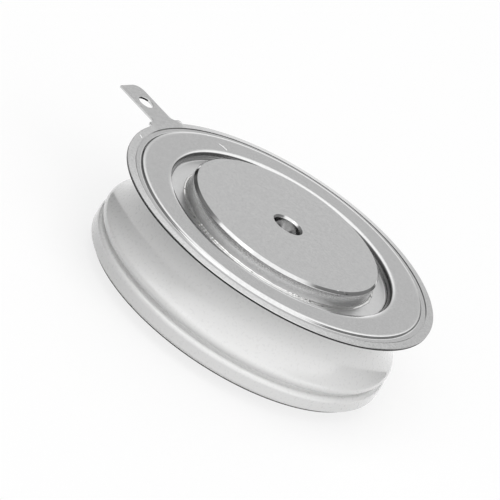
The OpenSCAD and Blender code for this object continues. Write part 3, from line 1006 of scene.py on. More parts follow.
MOLYBDENUM = MetalFinish("lapped_molybdenum", Slot.MOLYBDENUM, (0.42, 0.42, 0.44), 0.35, ring_pitch=0.4)
SILICON = MetalFinish("polished_silicon", Slot.SILICON, (0.22, 0.23, 0.26), 0.08, grain_depth=0.0002)
SPRING = MetalFinish("spring_wire", Slot.SPRING, (0.6, 0.54, 0.42), 0.25, grain_scale=12.0)
LEAD = MetalFinish("lead_wire", Slot.LEAD, (0.8, 0.79, 0.77), 0.25, grain_scale=10.0)
SILICONE = MouldedFinish(
    "cured_silicone", Slot.SILICONE, (0.42, 0.09, 0.06), 0.55, marks=(Specks(2.0, 0.12, 0.85),)
)
PLASTIC = MouldedFinish(
    "turned_plastic", Slot.PLASTIC, (0.84, 0.83, 0.79), 0.45, marks=(Specks(2.0, 0.12, 0.96),)
)
INSULATOR = MouldedFinish(
    "fired_insulator", Slot.INSULATOR, (0.84, 0.81, 0.73), 0.6, marks=(Specks(2.0, 0.12, 0.92),)
)
SEALED_FINISHES = {
    "anode_foil": FOIL, "anode_moly_disc": MOLYBDENUM, "silicon_wafer": SILICON,
    "wafer_edge_coating": SILICONE, "cathode_moly_disc": MOLYBDENUM, "cathode_foil": FOIL,
    "locating_ring": PLASTIC, "gate_cup": INSULATOR, "gate_spring": SPRING, "gate_pin": CONTACT,
    "gate_retainer": INSULATOR, "gate_lead": LEAD, "gate_lead_sleeve": PLASTIC,
}


# Sub-assemblies


@dataclass
class PoleShape:
    """Plated copper pole, drawn from its inner face outward.

    Args:
        height: Distance from the inner face to the contact face.
        seat: Height of the shoulder that carries the closing sheet.
        spigot_radius: Radius of the inner end.
        radius: Radius where the pole shows.
        shoulder_radius: Radius of the shoulder.
        shoulder_height: Thickness of the shoulder.
        chamfer: Chamfer round the contact face.
        hole_radius: Radius of the centring hole.
        hole_depth: Depth of its straight wall.
        hole_chamfer: Chamfer at its mouth.
        drill_half_angle: Half of the angle of the drill's tip.
        edge_break: Radius on the outer edges.
        side_share: Share of the radius past which an upright face belongs to the turned side.
    """

    height: float
    seat: float
    spigot_radius: float
    radius: float = 12.7
    shoulder_radius: float = 13.7
    shoulder_height: float = 1.1
    chamfer: float = 0.32
    hole_radius: float = 1.75
    hole_depth: float = 1.8
    hole_chamfer: float = 0.25
    drill_half_angle: float = 59.0
    edge_break: float = 0.05
    side_share: float = 0.99

    @property
    def hole_tip(self) -> float:
        """Height of the deepest point of the centring hole."""
        drill_tip = self.hole_radius / math.tan(math.radians(self.drill_half_angle))
        return self.height - self.hole_depth - drill_tip

    def make(self, base: float, outward: int, *inner: Corner) -> BMesh:
        """Turns the pole, from the tip of the centring hole round to the inner face.

        Args:
            base: Height of the inner face.
            outward: 1 on the cathode side, -1 on the anode side.
            inner: Corners that end the section, from the inner face's edge to the axis.

        Returns:
            The pole's mesh.
        """
        top, brk = self.height, self.edge_break
        shoulder_foot = self.seat - self.shoulder_height
        return turned(
            Corner(0.0, self.hole_tip),
            Corner(self.hole_radius, top - self.hole_depth, brk),
            Corner(self.hole_radius, top - self.hole_chamfer, brk),
            Corner(self.hole_radius + self.hole_chamfer, top, brk),
            Corner(self.radius - self.chamfer, top, brk),
            Corner(self.radius, top - self.chamfer, brk),
            Corner(self.radius, self.seat),
            Corner(self.shoulder_radius, self.seat, brk),
            Corner(self.shoulder_radius, shoulder_foot, brk),
            Corner(self.spigot_radius, shoulder_foot),
            Corner(self.spigot_radius, 0.0, brk),
            *inner,
            seat=base, outward=outward,
        )

    def finish(self, bm: BMesh, name: str, node: str) -> Object:
        """Gives the turned side its own finish, and finishes the pole.

        Args:
            bm: The pole's mesh.
            name: Name of the piece.
            node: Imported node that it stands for.

        Returns:
            The finished piece.
        """
        side = self.radius * self.side_share
        mark_faces(bm, lambda radius, middle, normal: radius > side and abs(normal.z) < UPRIGHT)
        return finish_piece(bm, name, node, POLE_FACE, POLE_SIDE)


@dataclass
class SheetShape:
    """Closing sheet of a pole: a dished ring whose recess runs round the pole.

    Args:
        hole_radius: Radius of the sheet's hole.
        recess_radius: Radius of the recess wall.
        depth: Depth of the recess.
        thickness: Thickness of the sheet.
        roll: Radius with which the flat falls off towards the recess.
        slope: Angle that this roll has reached where the rounded edge takes over.
        edge_round: Radius of the edge at the top of the wall.
        foot_round: Radius at the foot of the wall.
    """

    hole_radius: float = 12.75
    recess_radius: float = 15.0
    depth: float = 1.05
    thickness: float = 0.2
    roll: float = 3.4
    slope: float = 15.0
    edge_round: float = 0.4
    foot_round: float = 0.45

    def edge(self, inset: float) -> tuple[Corner, Corner]:
        """Corners of the wall's top and of the roll, on the outer face or parallel to it.

        Args:
            inset: Distance below the outer face.

        Returns:
            The corner at the wall and the corner at the flat.
        """
        slope = math.radians(self.slope)
        roll_end = self.recess_radius + self.edge_round + (self.roll - self.edge_round) * math.sin(slope)
        crest = roll_end - (self.roll - inset) * math.tan(slope / 2)
        wall = self.recess_radius + inset
        wall_top = -inset - (crest - wall) * math.tan(slope)
        return Corner(wall, wall_top, self.edge_round - inset), Corner(crest, -inset, self.roll - inset)

    def make(self, face: float, outward: int, *rim: Corner) -> BMesh:
        """Turns the sheet, on its outer side from the hole to the rim, and back on its inner side.

        Args:
            face: Height of the outer face.
            outward: 1 on the cathode side, -1 on the anode side.
            rim: Corners of the rim, ending on the underside.

        Returns:
            The sheet's mesh.
        """
        floor = -self.depth
        underside = floor - self.thickness
        return turned(
            Corner(self.hole_radius, floor),
            Corner(self.recess_radius, floor, self.foot_round),
            *self.edge(0.0),
            *rim,
            *reversed(self.edge(self.thickness)),
            Corner(self.recess_radius + self.thickness, underside, self.foot_round + self.thickness),
            Corner(self.hole_radius, underside),
            seat=face, outward=outward, closed=True,
        )


@dataclass
class ShoulderShape:
    """Fall of the diaphragm from its flat to the coined weld band: roll, round and fillet.

    Args:
        roll: Radius of the gentle roll off the flat.
        slope: Angle that this roll has reached where the round takes over.
        round: Radius of the round.
        fillet: Radius that runs out into the weld band.
    """

    roll: float = 2.6
    slope: float = 12.0
    round: float = 0.18
    fillet: float = 0.3

    def corners(self, band_inner: float, band: float) -> tuple[Corner, Corner, Corner]:
        """Works out the corners that the three radii round off.

        Args:
            band_inner: Radius at which the fillet meets the weld band.
            band: Height of the weld band under the flat, negative.

        Returns:
            Corners at the flat, at the shoulder and at the band.
        """
        slope = math.radians(self.slope)
        drop = -band - self.roll * (1.0 - math.cos(slope))
        radii = self.round + self.fillet
        steep = math.acos((self.round * math.cos(slope) + self.fillet - drop) / radii)
        across = band_inner - radii * math.sin(steep)
        up = self.roll * (math.cos(slope) - 1.0) - self.round * math.cos(slope)
        flat_end = across - (self.roll - self.round) * math.sin(slope)
        middle = (slope + steep) / 2
        reach = self.round / math.cos((steep - slope) / 2)
        return (
            Corner(flat_end + self.roll * math.tan(slope / 2), 0.0, self.roll),
            Corner(across + reach * math.sin(middle), up + reach * math.cos(middle), self.round),
            Corner(band_inner - self.fillet * math.tan(steep / 2), band, self.fillet),
        )


@dataclass
class BeadShape:
    """Bead of brazing alloy at the foot of a pole, with the waves and crumbs that it froze in.

    Args:
        pole_radius: Radius of the pole.
        width: Width of the bead.
        rise: Height of the bead over the sheet.
        climb: Height to which the alloy wets the pole.
        toe: Corner of the outer edge: its inset, its share of the rise and its radius.
        crest: Corner of the crest: its distance from the pole and its radius.
        lip: Corner of the wetted lip: its distance from the pole and its radius.
        swing: How far the outer edge wanders.
        crumb: How far single crumbs stand out.
        rarity: Odd power that makes big crumbs rare.
        lumps: Numbers of waves round the pole.
        heave: Share by which the height follows the waves, and the crumbs.
        steps: Steps of the turn.
    """

    pole_radius: float = 12.7
    width: float = 0.36
    rise: float = 0.07
    climb: float = 0.16
    toe: tuple[float, float, float] = (0.04, 0.6, 0.03)
    crest: tuple[float, float] = (0.12, 0.1)
    lip: tuple[float, float] = (0.015, 0.01)
    swing: float = 0.09
    crumb: float = 0.05
    rarity: int = 7
    lumps: tuple[int, ...] = (3, 7, 13, 23, 41)
    heave: tuple[float, float] = (0.35, 0.3)
    steps: int = 720

    def make(self, seat: float, outward: int, seed: int) -> BMesh:
        """Turns the bead and lets its edge and height wander.

        Args:
            seat: Height of the sheet's face that the bead lies on.
            outward: 1 on the cathode side, -1 on the anode side.
            seed: Seed of the waves.

        Returns:
            The bead's mesh.
        """
        chance = random.Random(seed)
        waves = [(count, chance.uniform(0.0, math.tau), chance.uniform(0.4, 1.0)) for count in self.lumps]
        total = sum(weight for _, _, weight in waves)
        crumbs = [chance.uniform(-1.0, 1.0) ** self.rarity for _ in range(self.steps)]
        inner, outer = self.pole_radius, self.pole_radius + self.width
        bm = turned(
            Corner(outer, 0.0),
            Corner(outer - self.toe[0], self.rise * self.toe[1], self.toe[2]),
            Corner(inner + self.crest[0], self.rise, self.crest[1]),
            Corner(inner + self.lip[0], self.climb, self.lip[1]),
            Corner(inner, self.climb),
            Corner(inner, 0.0),
            seat=seat, outward=outward, steps=self.steps, closed=True,
        )
        for vert in bm.verts:
            angle = math.atan2(vert.co.y, vert.co.x)
            wave = sum(weight * math.sin(count * angle + phase) for count, phase, weight in waves) / total
            crumb = crumbs[round(angle / math.tau * self.steps) % self.steps]
            radius = math.hypot(vert.co.x, vert.co.y)
            share = (radius - inner) / self.width
            moved = radius + share * (self.swing * wave + self.crumb * crumb)
            vert.co.x *= moved / radius
            vert.co.y *= moved / radius
            lift = 1.0 + self.heave[0] * wave + self.heave[1] * crumb
            vert.co.z = seat + (vert.co.z - seat) * lift
        return bm


@dataclass
class CathodeSide:
    """Flange with its tab, diaphragm, pole and braze on top of the cell."""

    rim_radius: float = 21.0
    rim_width: float = 1.0
    rim_gap: float = 0.12
    flange_thickness: float = 0.3
    flange_bore: float = 16.23
    track_depth: float = 0.16
    track_inner: float = 18.735
    wall_tolerance: float = 0.01
    edge_break: float = 0.04
    burnish: float = 0.05
    droop: float = 0.085
    tab_length: float = 7.0
    tab_width: float = 3.75
    tab_corner: float = 1.3
    tab_hole_radius: float = 1.0
    tab_hole_inset: float = 3.2
    tab_hole_reach: float = 1.1
    tab_hole_side: float = 1 / 3
    tab_bend: float = 3.3
    foot_out: float = 0.4
    foot_side: float = 1.35
    foot_round: float = 0.4
    fillet: float = 0.7
    band_width: float = 0.5
    band_thickness: float = 0.1
    band_edge: float = 0.02
    band_foot: float = 0.01
    jog: float = 18.935
    spigot_radius: float = 11.9
    gate_bore_radius: float = 2.35
    gate_web: float = 0.55
    slot_width: float = 1.3
    slot_height: float = 1.3
    slot_margin: float = 1.0
    bead_seed: int = 7
    sheet: SheetShape = field(default_factory=SheetShape)
    shoulder: ShoulderShape = field(default_factory=ShoulderShape)

    def build(self) -> list[Object]:
        """Builds the sub-assembly and returns its pieces."""
        return [self.flange(), self.diaphragm(), self.pole(), self.bead()]

    @property
    def rim_top(self) -> float:
        """Height of the rim's upper face."""
        low, high = box_mm("flange_braze")
        return box_mm("ceramic_ring")[1].z + (high.z - low.z) + self.flange_thickness

    @property
    def track_outer(self) -> float:
        """Radius of the track's outer wall."""
        return self.rim_radius - self.rim_width

    @property
    def hole(self) -> float:
        """Distance of the tab's hole from the axis."""
        return self.rim_radius + self.tab_length - self.tab_hole_inset

    @property
    def bend(self) -> float:
        """Distance from the axis of the line at which the tab is bent."""
        return self.rim_radius + self.foot_out + self.fillet / 2

    def tab_outline(self, pen: Pen) -> None:
        """Draws the flange's outline with the tab and its hole along +X.

        Args:
            pen: Pen that draws it.
        """
        rim, half = self.rim_radius, self.tab_width / 2
        foot_half = half + self.foot_side
        foot = rim + self.foot_out
        tip = rim + self.tab_length
        meeting = math.asin(foot_half / rim)
        pen.start(rim * math.cos(meeting), foot_half)
        pen.arc(Vector((0.0, 0.0)), 360.0 - 2 * math.degrees(meeting))
        pen.path(
            Corner(foot, -foot_half, self.foot_round),
            Corner(foot, -half, self.fillet),
            Corner(tip, -half, self.tab_corner),
            Corner(tip, half, self.edge_break),
            Corner(foot, half, self.fillet),
            Corner(foot, foot_half, self.foot_round),
            Corner(rim * math.cos(meeting), foot_half),
        )
        pen.start(self.hole + self.tab_hole_radius, 0.0)
        pen.arc(Vector((self.hole, 0.0)), 360.0)

    def plate(self) -> BMesh:
        """Stamps the outer plate with broken edges, open where the track's ring joins it.

        Returns:
            The plate's mesh, with the tab along +X.
        """
        pen = Pen()
        self.tab_outline(pen)
        bm = pen.bm
        rotate(bm, -math.pi / 2, "X")
        bmesh.ops.remove_doubles(bm, verts=bm.verts, dist=MERGE_DISTANCE)
        bmesh.ops.create_circle(bm, segments=TURN_STEPS, radius=self.track_outer)
        bmesh.ops.triangle_fill(bm, edges=bm.edges[:], use_beauty=True)
        split_at(bm, (self.bend, 0, 0), (1, 0, 0))
        bmesh.ops.translate(bm, vec=(0, 0, self.rim_top), verts=bm.verts)
        lower = bmesh.ops.extrude_face_region(bm, geom=bm.faces[:], use_keep_orig=True)["geom"]
        lowered = [item for item in lower if isinstance(item, BMVert)]
        bmesh.ops.translate(bm, vec=(0, 0, -self.flange_thickness), verts=lowered)
        close_up(bm)
        inside = [face for face in bm.faces if self.is_track_wall(face)]
        bmesh.ops.delete(bm, geom=inside, context="FACES_ONLY")
        rims = [edge for edge in bm.edges if edge.calc_face_angle(0.0) > SHARP_ANGLE]
        bmesh.ops.bevel(
            bm, geom=rims, offset=self.edge_break, segments=2, affect="EDGES", profile=0.5, material=-1
        )
        return bm

    def is_track_wall(self, face: BMFace) -> bool:
        """Tells whether an upright face stands where the track's outer wall is.

        Args:
            face: The face.

        Returns:
            Whether it stands there.
        """
        radii = [math.hypot(vert.co.x, vert.co.y) for vert in face.verts]
        at_wall = all(abs(radius - self.track_outer) < self.wall_tolerance for radius in radii)
        return at_wall and abs(face.normal.z) < UPRIGHT

    def is_torn_and_shaded(self, radius: float, middle: Vector, normal: Vector) -> bool:
        """Tells whether a face is the torn part of the rim's edge or of the hole's outer wall, which is
        painted near-black as shade.

        Args:
            radius: Distance of the face's middle from the axis.
            middle: The face's middle.
            normal: The face's normal.

        Returns:
            Whether the face is torn, and so painted near-black as shade.
        """
        at_hole = math.hypot(middle.x - self.hole, middle.y) < self.tab_hole_reach * self.tab_hole_radius
        outer_wall = at_hole and middle.x > self.hole + self.tab_hole_side * self.tab_hole_radius
        under_burnish = middle.z < self.rim_top - self.burnish
        return (radius < self.rim_radius or outer_wall) and under_burnish and abs(normal.z) < UPRIGHT

    def flange(self) -> Object:
        """Stamps the plate, paints its torn edges near-black as shade, lets its rim droop, bends the tab
        and adds the track.

        Returns:
            The finished piece.
        """
        bm = self.plate()
        split_at(bm, (0, 0, self.rim_top - self.burnish), (0, 0, 1))
        # The torn faces take the second finish, a near-black painted shade
        mark_faces(bm, self.is_torn_and_shaded)
        for vert in bm.verts:
            radius = math.hypot(vert.co.x, vert.co.y)
            if self.track_outer < radius < self.rim_radius + MERGE_DISTANCE:
                vert.co.z -= self.droop * (radius - self.track_outer) / self.rim_width
        slope = math.tan(math.radians(self.tab_bend))
        lift = Matrix.Identity(4)
        lift[2][0], lift[2][3] = slope, -slope * self.bend
        raised = [vert for vert in bm.verts if vert.co.x > self.bend]
        bmesh.ops.transform(bm, matrix=lift, verts=raised)
        rotate(bm, math.pi, "Z")
        self.add_track(bm)
        return finish_piece(
            bm, "rim_flange", "cathode_flange", FLANGE_SHEET, SHADED_SHEARED_EDGE, crease=FLAT_CREASE
        )

    def add_track(self, bm: BMesh) -> None:
        """Adds the pressed track and the inner ring of the flange.

        Args:
            bm: Mesh of the outer plate, open at the track's outer wall.
        """
        outer, brk = self.track_outer, self.edge_break
        section = turned(
            Corner(outer, 0.0),
            Corner(outer, -self.track_depth),
            Corner(self.track_inner, -self.track_depth),
            Corner(self.track_inner, 0.0, brk),
            Corner(self.flange_bore, 0.0, brk),
            Corner(self.flange_bore, -self.flange_thickness, brk),
            Corner(outer, -self.flange_thickness),
            seat=self.rim_top,
        )
        ring = bpy.data.meshes.new("track")
        section.to_mesh(ring)
        section.free()
        bm.from_mesh(ring)
        bpy.data.meshes.remove(ring)
        close_up(bm)

    def diaphragm(self) -> Object:
        """Presses the diaphragm with its recess, rounded shoulder and coined weld band.

        Returns:
            The finished piece.
        """
        thickness = self.sheet.thickness
        track = -thickness - self.track_depth
        band = track + self.band_thickness
        band_outer = self.track_outer - self.rim_gap
        bm = self.sheet.make(
            self.rim_top + thickness, 1,
            *self.shoulder.corners(band_outer - self.band_width, band),
            Corner(band_outer, band, self.band_edge),
            Corner(band_outer, track, self.band_foot),
            Corner(self.jog, track),
            Corner(self.jog, -thickness, self.band_edge),
        )
        return finish_piece(bm, "top_diaphragm", "cathode_diaphragm", WORN_DIAPHRAGM_PAINTED_GLINTS)

    def pole(self) -> Object:
        """Turns the pole, and mills the slot that lets the gate lead out.

        Returns:
            The finished piece.
        """
        low, high = box_mm("cathode_pole")
        shape = PoleShape(high.z - low.z, self.rim_top - self.sheet.depth - low.z, self.spigot_radius)
        gate_top = shape.hole_tip - self.gate_web
        bm = shape.make(
            low.z, 1,
            Corner(self.gate_bore_radius, 0.0, shape.edge_break),
            Corner(self.gate_bore_radius, gate_top),
            Corner(0.0, gate_top),
        )
        slot = bmesh.new()
        bmesh.ops.create_cube(slot, size=1.0)
        length = shape.shoulder_radius + self.slot_margin
        bmesh.ops.scale(slot, vec=(length, self.slot_width, 2 * self.slot_height), verts=slot.verts)
        bmesh.ops.translate(slot, vec=(length / 2, 0, low.z), verts=slot.verts)
        rotate(slot, GATE_DIRECTION, "Z")
        return shape.finish(cut_away(bm, slot), "top_pole", "cathode_pole")

    def bead(self) -> Object:
        """Lets the braze freeze round the foot of the pole."""
        bm = BeadShape().make(box_mm("cathode_pole_braze")[0].z, 1, self.bead_seed)
        return finish_piece(bm, "top_braze", "cathode_pole_braze", BRAZE)


@dataclass
class AnodeSide:
    """Pole, diaphragm and braze under the cell."""

    sheet_radius: float = 19.53
    edge_break: float = 0.06
    spigot_radius: float = 12.9
    bead_seed: int = 19
    sheet: SheetShape = field(default_factory=SheetShape)

    def build(self) -> list[Object]:
        """Builds the sub-assembly and returns its pieces."""
        return [self.diaphragm(), self.pole(), self.bead()]

    def diaphragm(self) -> Object:
        """Presses the lower closing sheet, with its sheared rim painted near-black as shade.

        Returns:
            The finished piece.
        """
        bm = self.sheet.make(
            box_mm("anode_diaphragm")[0].z, -1,
            Corner(self.sheet_radius, 0.0, self.edge_break),
            Corner(self.sheet_radius, -self.sheet.thickness, self.edge_break),
        )
        rim = self.sheet_radius - self.edge_break
        # The rim's edge faces take the near-black second finish: painted shade
        mark_faces(bm, lambda radius, middle, normal: radius > rim)
        return finish_piece(bm, "bottom_diaphragm", "anode_diaphragm", DIAPHRAGM_SHEET, SHADED_SHEARED_EDGE)

    def pole(self) -> Object:
        """Turns the lower pole.

        Returns:
            The finished piece.
        """
        low, high = box_mm("anode_pole")
        floor = box_mm("anode_diaphragm")[0].z + self.sheet.depth + self.sheet.thickness
        shape = PoleShape(high.z - low.z, high.z - floor, self.spigot_radius)
        return shape.finish(shape.make(high.z, -1, Corner(0.0, 0.0)), "bottom_pole", "anode_pole")

    def bead(self) -> Object:
        """Lets the braze freeze round the foot of the lower pole."""
        bm = BeadShape().make(box_mm("anode_pole_braze")[1].z, -1, self.bead_seed)
        return finish_piece(bm, "bottom_braze", "anode_pole_braze", BRAZE)


@dataclass
class CeramicHousing:
    """Ribbed ceramic ring and the two brazed seams that close it."""

    bore: float = 16.0
    neck: float = 18.0
    lower_rib: float = 19.98
    upper_rib: float = 19.87
    lower_rib_height: float = 2.0
    groove_height: float = 0.6
    groove_depth: float = 0.9
    nose: float = 0.8
    nose_lift: float = 0.52
    nose_lip: float = 0.02
    flare: float = 5.4
    bore_edge: float = 0.2
    rib_round: float = 0.6
    rib_edge: float = 0.3
    lip_round: float = 0.1
    seam_margin: float = 0.05
    cut_margin: float = 1.0
    spot_reach: float = 4.0

    def build(self) -> list[Object]:
        """Builds the sub-assembly and returns its pieces."""
        foot = self.lower_rib - self.rib_edge
        return [
            self.ring(),
            self.seam("flange_braze", "flange_seam", self.neck - self.seam_margin),
            self.seam("anode_seal_braze", "bottom_seam", foot - self.seam_margin),
        ]

    def section(self, pen: Pen, bottom: float, top: float) -> None:
        """Draws the ring: neck, hollow flare, upper rib, groove and lower rib.

        Args:
            pen: Pen with its zero at the frame's zero.
            bottom: Height of the lower face.
            top: Height of the upper face.
        """
        groove_low = bottom + self.lower_rib_height
        groove_high = groove_low + self.groove_height
        nose = Vector((self.upper_rib - self.nose, groove_high + self.nose_lift))
        across = self.neck + self.flare
        up = nose.y + math.sqrt((self.nose + self.flare) ** 2 - (across - nose.x) ** 2)
        flare = Vector((across, up))
        slope = math.degrees(math.atan2(flare.y - nose.y, flare.x - nose.x))
        lip = math.degrees(math.asin(self.nose_lift / self.nose))
        groove_round = self.groove_height / 2
        groove = Vector((self.upper_rib - self.groove_depth + groove_round, groove_low + groove_round))
        pen.start((self.bore + self.neck) / 2, top)
        pen.path(Corner(self.neck, top, self.lip_round), Corner(self.neck, flare.y))
        pen.arc(flare, slope)
        pen.arc(nose, -slope - lip)
        pen.path(
            Corner(pen.at.x - self.nose_lip, groove_high, self.nose_lip), Corner(groove.x, groove_high)
        )
        pen.arc(groove, 180.0)
        pen.path(
            Corner(self.lower_rib, groove_low, self.rib_round),
            Corner(self.lower_rib, bottom, self.rib_edge),
            Corner(self.bore + self.bore_edge, bottom, self.lip_round),
            Corner(self.bore, bottom + self.bore_edge, self.lip_round),
            Corner(self.bore, top - self.bore_edge, self.lip_round),
            Corner(self.bore + self.bore_edge, top, self.lip_round),
            Corner((self.bore + self.neck) / 2, top),
        )

    def ring(self) -> Object:
        """Presses and glazes the ring, and grinds the seat of the gate tube.

        Returns:
            The finished piece.
        """
        low, high = box_mm("ceramic_ring")
        pen = Pen()
        self.section(pen, low.z, high.z)
        gate = GateFeedthrough()
        bore_end, spot_floor = self.neck + self.cut_margin, self.neck - gate.spot_depth
        bm = cut_away(
            pen.turn(),
            gate.rod(gate.tube_radius + gate.clearance, self.bore - self.cut_margin, bore_end),
            gate.rod(gate.spot_radius, spot_floor, self.neck + self.spot_reach),
        )
        return finish_piece(bm, "ceramic_body", "ceramic_ring", CERAMIC)

    def seam(self, node: str, name: str, outer: float) -> Object:
        """Fills a seam between the ceramic and a sheet.

        Args:
            node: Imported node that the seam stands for.
            name: Name of the piece.
            outer: Outer radius of the seam.

        Returns:
            The finished piece.
        """
        low, high = box_mm(node)
        inner, height = self.bore + self.bore_edge, high.z - low.z
        bm = turned(
            Corner(outer, 0.0), Corner(outer, height), Corner(inner, height), Corner(inner, 0.0),
            seat=low.z, closed=True,
        )
        return finish_piece(bm, name, node, BRAZE)


@dataclass
class GateFeedthrough:
    """Tube, collar and terminal pin that bring the gate out through the ceramic."""

    tube_radius: float = 0.9
    tube_bore: float = 0.55
    tube_start: float = 15.7
    tube_end: float = 20.5
    tube_edge: float = 0.06
    clearance: float = 0.05
    spot_radius: float = 1.8
    spot_depth: float = 0.3
    spot_face: float = 17.7
    collar_thickness: float = 0.4
    collar_middle: float = 0.5
    collar_crest: float = 0.72
    collar_step: float = 0.25
    collar_rounds: tuple[float, float, float] = (0.05, 0.15, 0.3)
    pin_radius: float = 0.5
    pin_start: float = 18.6
    pin_end: float = 24.5
    pin_collar: float = 0.5
    pin_chamfer: float = 0.15
    pin_edge: float = 0.04
    pin_fillet: float = 0.05
    socket_radius: float = 0.25
    socket_depth: float = 0.8

    @property
    def place(self) -> Matrix:
        """Turns a piece drawn along Z to the direction and height of the lead."""
        low, high = box_mm("gate_tube")
        lift = Matrix.Translation((0.0, 0.0, (low.z + high.z) / 2))
        return lift @ Matrix.Rotation(GATE_DIRECTION, 4, "Z") @ Matrix.Rotation(math.pi / 2, 4, "Y")

    def build(self) -> list[Object]:
        """Builds the sub-assembly and returns its pieces."""
        return [self.tube(), self.collar(), self.terminal()]

    def rod(self, radius: float, start: float, end: float) -> BMesh:
        """Makes a plain rod along the lead, as a cutter.

        Args:
            radius: Radius of the rod.
            start: Distance of its inner end from the cell's axis.
            end: Distance of its outer end.

        Returns:
            The rod's mesh, in place.
        """
        corners = (Corner(0.0, start), Corner(radius, start), Corner(radius, end), Corner(0.0, end))
        bm = turned(*corners, steps=SMALL_TURN_STEPS)
        bmesh.ops.transform(bm, matrix=self.place, verts=bm.verts)
        return bm

    def tube(self) -> Object:
        """Draws the tube with burnished ends.

        Returns:
            The finished piece.
        """
        ends = (
            (self.tube_radius, self.tube_end), (self.tube_bore, self.tube_end),
            (self.tube_bore, self.tube_start), (self.tube_radius, self.tube_start),
        )
        corners = (Corner(across, up, self.tube_edge) for across, up in ends)
        bm = turned(*corners, steps=SMALL_TURN_STEPS, closed=True)
        return finish_piece(bm, "gate_sleeve_tube", "gate_tube", TUBE_METAL, place=self.place)

    def collar(self) -> Object:
        """Lets the braze freeze round the tube on its ground seat.

        Returns:
            The finished piece.
        """
        inner, outer, thickness = self.tube_radius, self.spot_radius - self.clearance, self.collar_thickness
        foot, edge, crest = self.collar_rounds
        bm = turned(
            Corner(outer, 0.0, foot),
            Corner(outer, thickness * self.collar_middle, edge),
            Corner(inner + self.collar_step, thickness * self.collar_crest, crest),
            Corner(inner, thickness),
            Corner(inner, 0.0),
            seat=self.spot_face, steps=SMALL_TURN_STEPS, closed=True,
        )
        return finish_piece(bm, "gate_collar", "gate_tube_braze", BRAZE, place=self.place)

    def terminal(self) -> Object:
        """Turns the terminal pin with its collar and socket.

        Returns:
            The finished piece.
        """
        brk = self.pin_edge
        collar = self.tube_end + self.pin_collar
        socket_floor = self.pin_start + self.socket_depth
        bm = turned(
            Corner(0.0, self.pin_end),
            Corner(self.pin_radius - self.pin_chamfer, self.pin_end, brk),
            Corner(self.pin_radius, self.pin_end - self.pin_chamfer, brk),
            Corner(self.pin_radius, collar, self.pin_fillet),
            Corner(self.tube_radius, collar, brk * 2),
            Corner(self.tube_radius, self.tube_end, brk),
            Corner(self.pin_radius, self.tube_end),
            Corner(self.pin_radius, self.pin_start, brk),
            Corner(self.socket_radius, self.pin_start, brk),
            Corner(self.socket_radius, socket_floor),
            Corner(0.0, socket_floor),
            steps=SMALL_TURN_STEPS,
        )
        return finish_piece(bm, "gate_pin_terminal", "gate_terminal", CONTACT, place=self.place)


@dataclass
class SealedPieces:
    """Wafer stack and gate contact inside the cell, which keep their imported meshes."""

    finishes: dict[str, Finish]

    def build(self) -> list[Object]:
        """Puts each node's finish on it.

        Returns:
            The nodes' objects.
        """
        pieces = [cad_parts[node] for node in self.finishes]
        for piece, finish in zip(pieces, self.finishes.values()):
            for slot in piece.material_slots:
                slot.material = finish.material()
        return pieces


# Studio


def direction(azimuth: float, elevation: float) -> Vector:
    """Unit vector for degrees counter-clockwise from +X and degrees over the horizon."""
    turn, rise = math.radians(azimuth), math.radians(elevation)
    return Vector((math.cos(rise) * math.cos(turn), math.cos(rise) * math.sin(turn), math.sin(rise)))


@dataclass(frozen=True)
class Lobe:
    """Soft patch of the studio's surroundings, as a level of light over a round of directions.

    Args:
        azimuth: Direction in degrees, counter-clockwise from the camera's.
        elevation: Height over the horizon in degrees.
        inner: Angle from its middle within which it is full.
        outer: Angle at which it is gone.
        level: Light level in its middle.
    """

    azimuth: float
    elevation: float
    inner: float
    outer: float
    level: float


